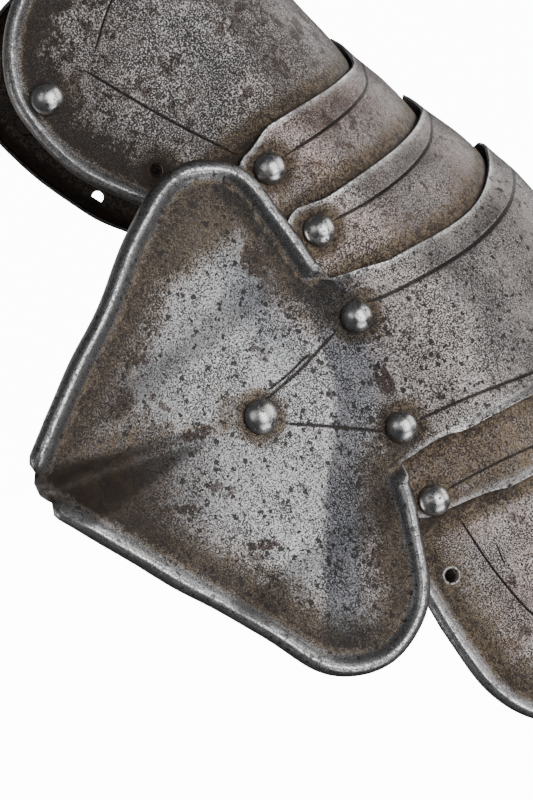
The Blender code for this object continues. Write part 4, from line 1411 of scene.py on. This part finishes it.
def add_floor(settings):
    """A pale floor that sweeps up into a backdrop all round."""
    flat, bend, top = FLOOR_SIZES
    profile = [(flat, 0.0)]
    for angle in np.linspace(0.1, math.pi / 2, 12):
        profile.append((flat + bend * math.sin(angle), bend - bend * math.cos(angle)))
    profile.append((flat + bend, top))
    angles = np.arange(FLOOR_SIDES) * 2 * math.pi / FLOOR_SIDES
    points = [(0.0, 0.0, 0.0)]
    for radius, height in profile:
        points += [(radius * math.cos(a), radius * math.sin(a), height) for a in angles]
    pairs = [(i, (i + 1) % FLOOR_SIDES) for i in range(FLOOR_SIDES)]
    faces = [(0, 1 + i, 1 + j) for i, j in pairs]
    for row in range(len(profile) - 1):
        low = 1 + row * FLOOR_SIDES
        high = low + FLOOR_SIDES
        faces += [(low + i, high + i, high + j, low + j) for i, j in pairs]
    data = bpy.data.meshes.new("Floor")
    data.from_pydata(points, [], faces)
    data.shade_smooth()
    floor = place_in_scene("Floor", data)
    floor.location = (0, LEG_MIDDLE * TO_METRES, 0)
    floor.visible_diffuse = False
    floor.visible_glossy = False
    material, w, shader = new_material("floor_paper")
    colour = (*settings.floor_colour, 1)
    w.fill(shader, Base_Color=colour, Roughness=0.9)
    w.fill(shader, Emission_Color=colour, Emission_Strength=settings.floor_glow)
    data.materials.append(material)


def add_world(settings):
    world = bpy.data.worlds.new("Studio")
    world.use_nodes = True
    ground = world.node_tree.nodes["Background"]
    ground.inputs["Color"].default_value = WORLD_COLOUR
    ground.inputs["Strength"].default_value = settings.ambient
    bpy.context.scene.world = world


# What kinds of setting share
COLOUR = {"subtype": "COLOR", "size": 3, "min": 0, "max": 1}
SHARE = {"subtype": "FACTOR", "min": 0, "max": 1}
LENGTH = {"subtype": "DISTANCE", "unit": "LENGTH"}
ANGLE = {"subtype": "ANGLE", "unit": "ROTATION"}


class POLEYN_PG_steel(bpy.types.PropertyGroup):
    """Colours and wear of the plates and rivets."""

    steel_colour: FloatVectorProperty(
        name="Steel", description="Colour of the bare steel",
        default=(0.222, 0.212, 0.207), **COLOUR)
    warm_colour: FloatVectorProperty(
        name="Warm steel", description="Colour of the steel where it has begun to brown",
        default=(0.178, 0.125, 0.109), **COLOUR)
    # Also the colour of the painted reflection on the wing and on the turned edges
    bare_and_lit_colour: FloatVectorProperty(
        name="Bare steel", description="Colour of the palest, barest steel, on the wing",
        default=(0.30, 0.30, 0.303), **COLOUR)
    skin_colour: FloatVectorProperty(
        name="Dark skin", description="Colour of the thick dark scale left on the plates",
        default=(0.045, 0.035, 0.028), **COLOUR)
    worn_colour: FloatVectorProperty(
        name="Worn steel", description="Colour of rubbed ridges and edges",
        default=(0.66, 0.66, 0.66), **COLOUR)
    rust_colour: FloatVectorProperty(
        name="Rust", description="Colour of the clouds of rust",
        default=(0.05, 0.024, 0.018), **COLOUR)
    brown_colour: FloatVectorProperty(
        name="Brown patina", description="Dark colour of the stain in grooves",
        default=(0.052, 0.031, 0.018), **COLOUR)
    ochre_colour: FloatVectorProperty(
        name="Ochre patina", description="Light colour of the stain in grooves",
        default=(0.19, 0.135, 0.08), **COLOUR)
    pit_colour: FloatVectorProperty(
        name="Pits", description="Colour at the bottom of the pits and incised lines",
        default=(0.022, 0.018, 0.016), **COLOUR)
    # The colour of the painted shade in recesses, under edges and in the wing's fold
    painted_shade_colour: FloatVectorProperty(
        name="Blackened steel", description="Colour of the inner faces and of deep recesses",
        default=(0.032, 0.021, 0.014), **COLOUR)
    rivet_colour: FloatVectorProperty(
        name="Rivets", description="Colour of the rivet heads",
        default=(0.52, 0.50, 0.485), **COLOUR)
    roughness: FloatProperty(
        name="Roughness", description="Roughness of the bare steel",
        subtype="FACTOR", min=0.05, max=1, default=0.36)
    pitting: FloatProperty(name="Pitting", description="How dark the pits are", default=0.9, **SHARE)
    rust: FloatProperty(
        name="Rust cover", description="How strongly the rust covers the steel",
        default=0.85, **SHARE)
    patina: FloatProperty(
        name="Patina cover", description="How strongly the brown stain covers the steel",
        default=0.92, **SHARE)


class POLEYN_PG_shape(bpy.types.PropertyGroup):
    """Sizes of the mesh and the rivets."""

    spacing: FloatProperty(
        name="Mesh spacing", description="Distance between points across a plate, in millimetres",
        min=1.0, max=6.0, default=1.7)
    head_height: FloatProperty(
        name="Head height", description="Height of a rivet's domed head",
        min=0.001, max=0.006, default=0.0034, **LENGTH)
    wear: FloatProperty(
        name="Head wear", description="How uneven the rivet heads are",
        min=0, max=0.001, default=0.00035, **LENGTH)


class POLEYN_PG_stage(bpy.types.PropertyGroup):
    """Camera, floor and lights."""

    azimuth: FloatProperty(
        name="Azimuth", description="Direction the camera looks from",
        default=math.radians(260.5), **ANGLE)
    elevation: FloatProperty(
        name="Elevation", description="Height of the view above the horizon",
        default=math.radians(6.0), **ANGLE)
    camera_roll: FloatProperty(
        name="Roll", description="Turn of the camera about its own line of sight",
        default=math.radians(34.0), **ANGLE)
    distance: FloatProperty(
        name="Distance", description="From the camera to its target",
        default=1.0, **LENGTH)
    target_height: FloatProperty(
        name="Target height", description="Height of the point the camera looks at",
        default=0.120, **LENGTH)
    lens: FloatProperty(name="Lens", description="Focal length", unit="CAMERA", default=152.1)
    floor_colour: FloatVectorProperty(
        name="Floor", description="Colour of the floor and backdrop",
        default=(0.95, 0.95, 0.95), **COLOUR)
    floor_glow: FloatProperty(
        name="Floor glow", description="Light that the backdrop gives off",
        min=0, max=40, default=14.0)
    ambient: FloatProperty(
        name="Ambient", description="Strength of the light from all round",
        min=0, max=2, default=0.07)
    power: FloatProperty(
        name="Light power", description="Power of the main light; the others follow it",
        unit="POWER", min=0, max=200, default=8.5)


class PlateMaker:
    """What the plates' operators share."""

    bl_options = {"REGISTER", "UNDO"}
    plate = ""
    look = (1.0, 1.0, 1.0, 0.5, 0.0)  # fine pits, flakes, rust, warmth, dark skin

    def execute(self, context):
        material = plate_steel(self.plate + "_worn_steel", context.scene.poleyn_steel, self.look)
        plate_piece(self.plate, context.scene.poleyn_shape.spacing, material)
        return {"FINISHED"}


class POLEYN_OT_upper_plate(PlateMaker, bpy.types.Operator):
    """Make the upper plate, at the thigh end"""

    bl_idname = "poleyn.upper_plate"
    bl_label = "Upper plate"
    plate = "upper_plate"
    look = (1.5, 0.5, 1.1, 0.35, 1.0)


class POLEYN_OT_upper_lame(PlateMaker, bpy.types.Operator):
    """Make the upper lame, next to the thigh end"""

    bl_idname = "poleyn.upper_lame"
    bl_label = "Upper lame"
    plate = "upper_lame"
    look = (0.35, 0.25, 0.9, 0.9, 0.0)


class POLEYN_OT_middle_lame(PlateMaker, bpy.types.Operator):
    """Make the middle lame, next to the knee cop"""

    bl_idname = "poleyn.middle_lame"
    bl_label = "Middle lame"
    plate = "middle_lame"
    look = (0.4, 0.35, 0.8, 0.75, 0.0)


class POLEYN_OT_knee_cop(PlateMaker, bpy.types.Operator):
    """Make the knee cop with its wing"""

    bl_idname = "poleyn.knee_cop"
    bl_label = "Knee cop and wing"
    plate = "knee_cop"
    look = (0.75, 1.15, 0.55, 0.4, 0.6)


class POLEYN_OT_lower_lame(PlateMaker, bpy.types.Operator):
    """Make the lower lame, below the knee cop"""

    bl_idname = "poleyn.lower_lame"
    bl_label = "Lower lame"
    plate = "lower_lame"
    look = (0.4, 0.3, 0.85, 0.8, 0.1)


class POLEYN_OT_lower_plate(PlateMaker, bpy.types.Operator):
    """Make the lower plate, at the shin end"""

    bl_idname = "poleyn.lower_plate"
    bl_label = "Lower plate"
    plate = "lower_plate"
    look = (0.45, 0.3, 0.9, 0.65, 0.2)


class POLEYN_OT_rivets(bpy.types.Operator):
    """Make the rivets of every plate"""

    bl_idname = "poleyn.rivets"
    bl_label = "Rivets"
    bl_options = {"REGISTER", "UNDO"}

    def execute(self, context):
        tree = rivet_tree()
        material = rivet_steel("rivet_worn_steel", context.scene.poleyn_steel)
        for plate in PLATES:
            rivet_piece(plate, tree, context.scene.poleyn_shape, material)
        return {"FINISHED"}


class POLEYN_OT_stage(bpy.types.Operator):
    """Make the camera, the floor and the lights"""

    bl_idname = "poleyn.stage"
    bl_label = "Stage"
    bl_options = {"REGISTER", "UNDO"}

    def execute(self, context):
        settings = context.scene.poleyn_stage
        target, right, up, back = add_camera(settings)
        add_floor(settings)
        add_world(settings)
        for name, (place, size, share, colour) in LIGHTS.items():
            away = sum((amount * way for amount, way in zip(place, (right, up, back))), Vector())
            add_light(name, target + away, target, size, settings.power * share, colour)
        return {"FINISHED"}


class POLEYN_PT_panel(bpy.types.Panel):
    """Sizes, colours and the steps that build the poleyn"""

    bl_idname = "POLEYN_PT_panel"
    bl_label = "Poleyn"
    bl_space_type = "VIEW_3D"
    bl_region_type = "UI"
    bl_category = "Poleyn"

    def draw(self, context):
        layout = self.layout
        for title, group in (("Steel", "poleyn_steel"), ("Shape", "poleyn_shape"), ("Stage", "poleyn_stage")):
            box = layout.box()
            box.label(text=title)
            settings = getattr(context.scene, group)
            for name in settings.__annotations__:
                box.prop(settings, name)
        column = layout.column(align=True)
        for step in STEPS:
            column.operator(step.bl_idname)


STEPS = (
    POLEYN_OT_stage, POLEYN_OT_upper_plate, POLEYN_OT_upper_lame, POLEYN_OT_middle_lame, POLEYN_OT_knee_cop,
    POLEYN_OT_lower_lame, POLEYN_OT_lower_plate, POLEYN_OT_rivets,
)
GROUPS = {"poleyn_steel": POLEYN_PG_steel, "poleyn_shape": POLEYN_PG_shape, "poleyn_stage": POLEYN_PG_stage}


def register():
    for made in (*GROUPS.values(), *STEPS, POLEYN_PT_panel):
        bpy.utils.register_class(made)
    for name, group in GROUPS.items():
        setattr(bpy.types.Scene, name, PointerProperty(type=group))


def unregister():
    for name in GROUPS:
        delattr(bpy.types.Scene, name)
    for made in reversed((*GROUPS.values(), *STEPS, POLEYN_PT_panel)):
        bpy.utils.unregister_class(made)


def main():
    register()
    bpy.ops.poleyn.stage()
    bpy.ops.poleyn.upper_plate()
    bpy.ops.poleyn.upper_lame()
    bpy.ops.poleyn.middle_lame()
    bpy.ops.poleyn.knee_cop()
    bpy.ops.poleyn.lower_lame()
    bpy.ops.poleyn.lower_plate()
    bpy.ops.poleyn.rivets()


if __name__ == "__main__":
    main()
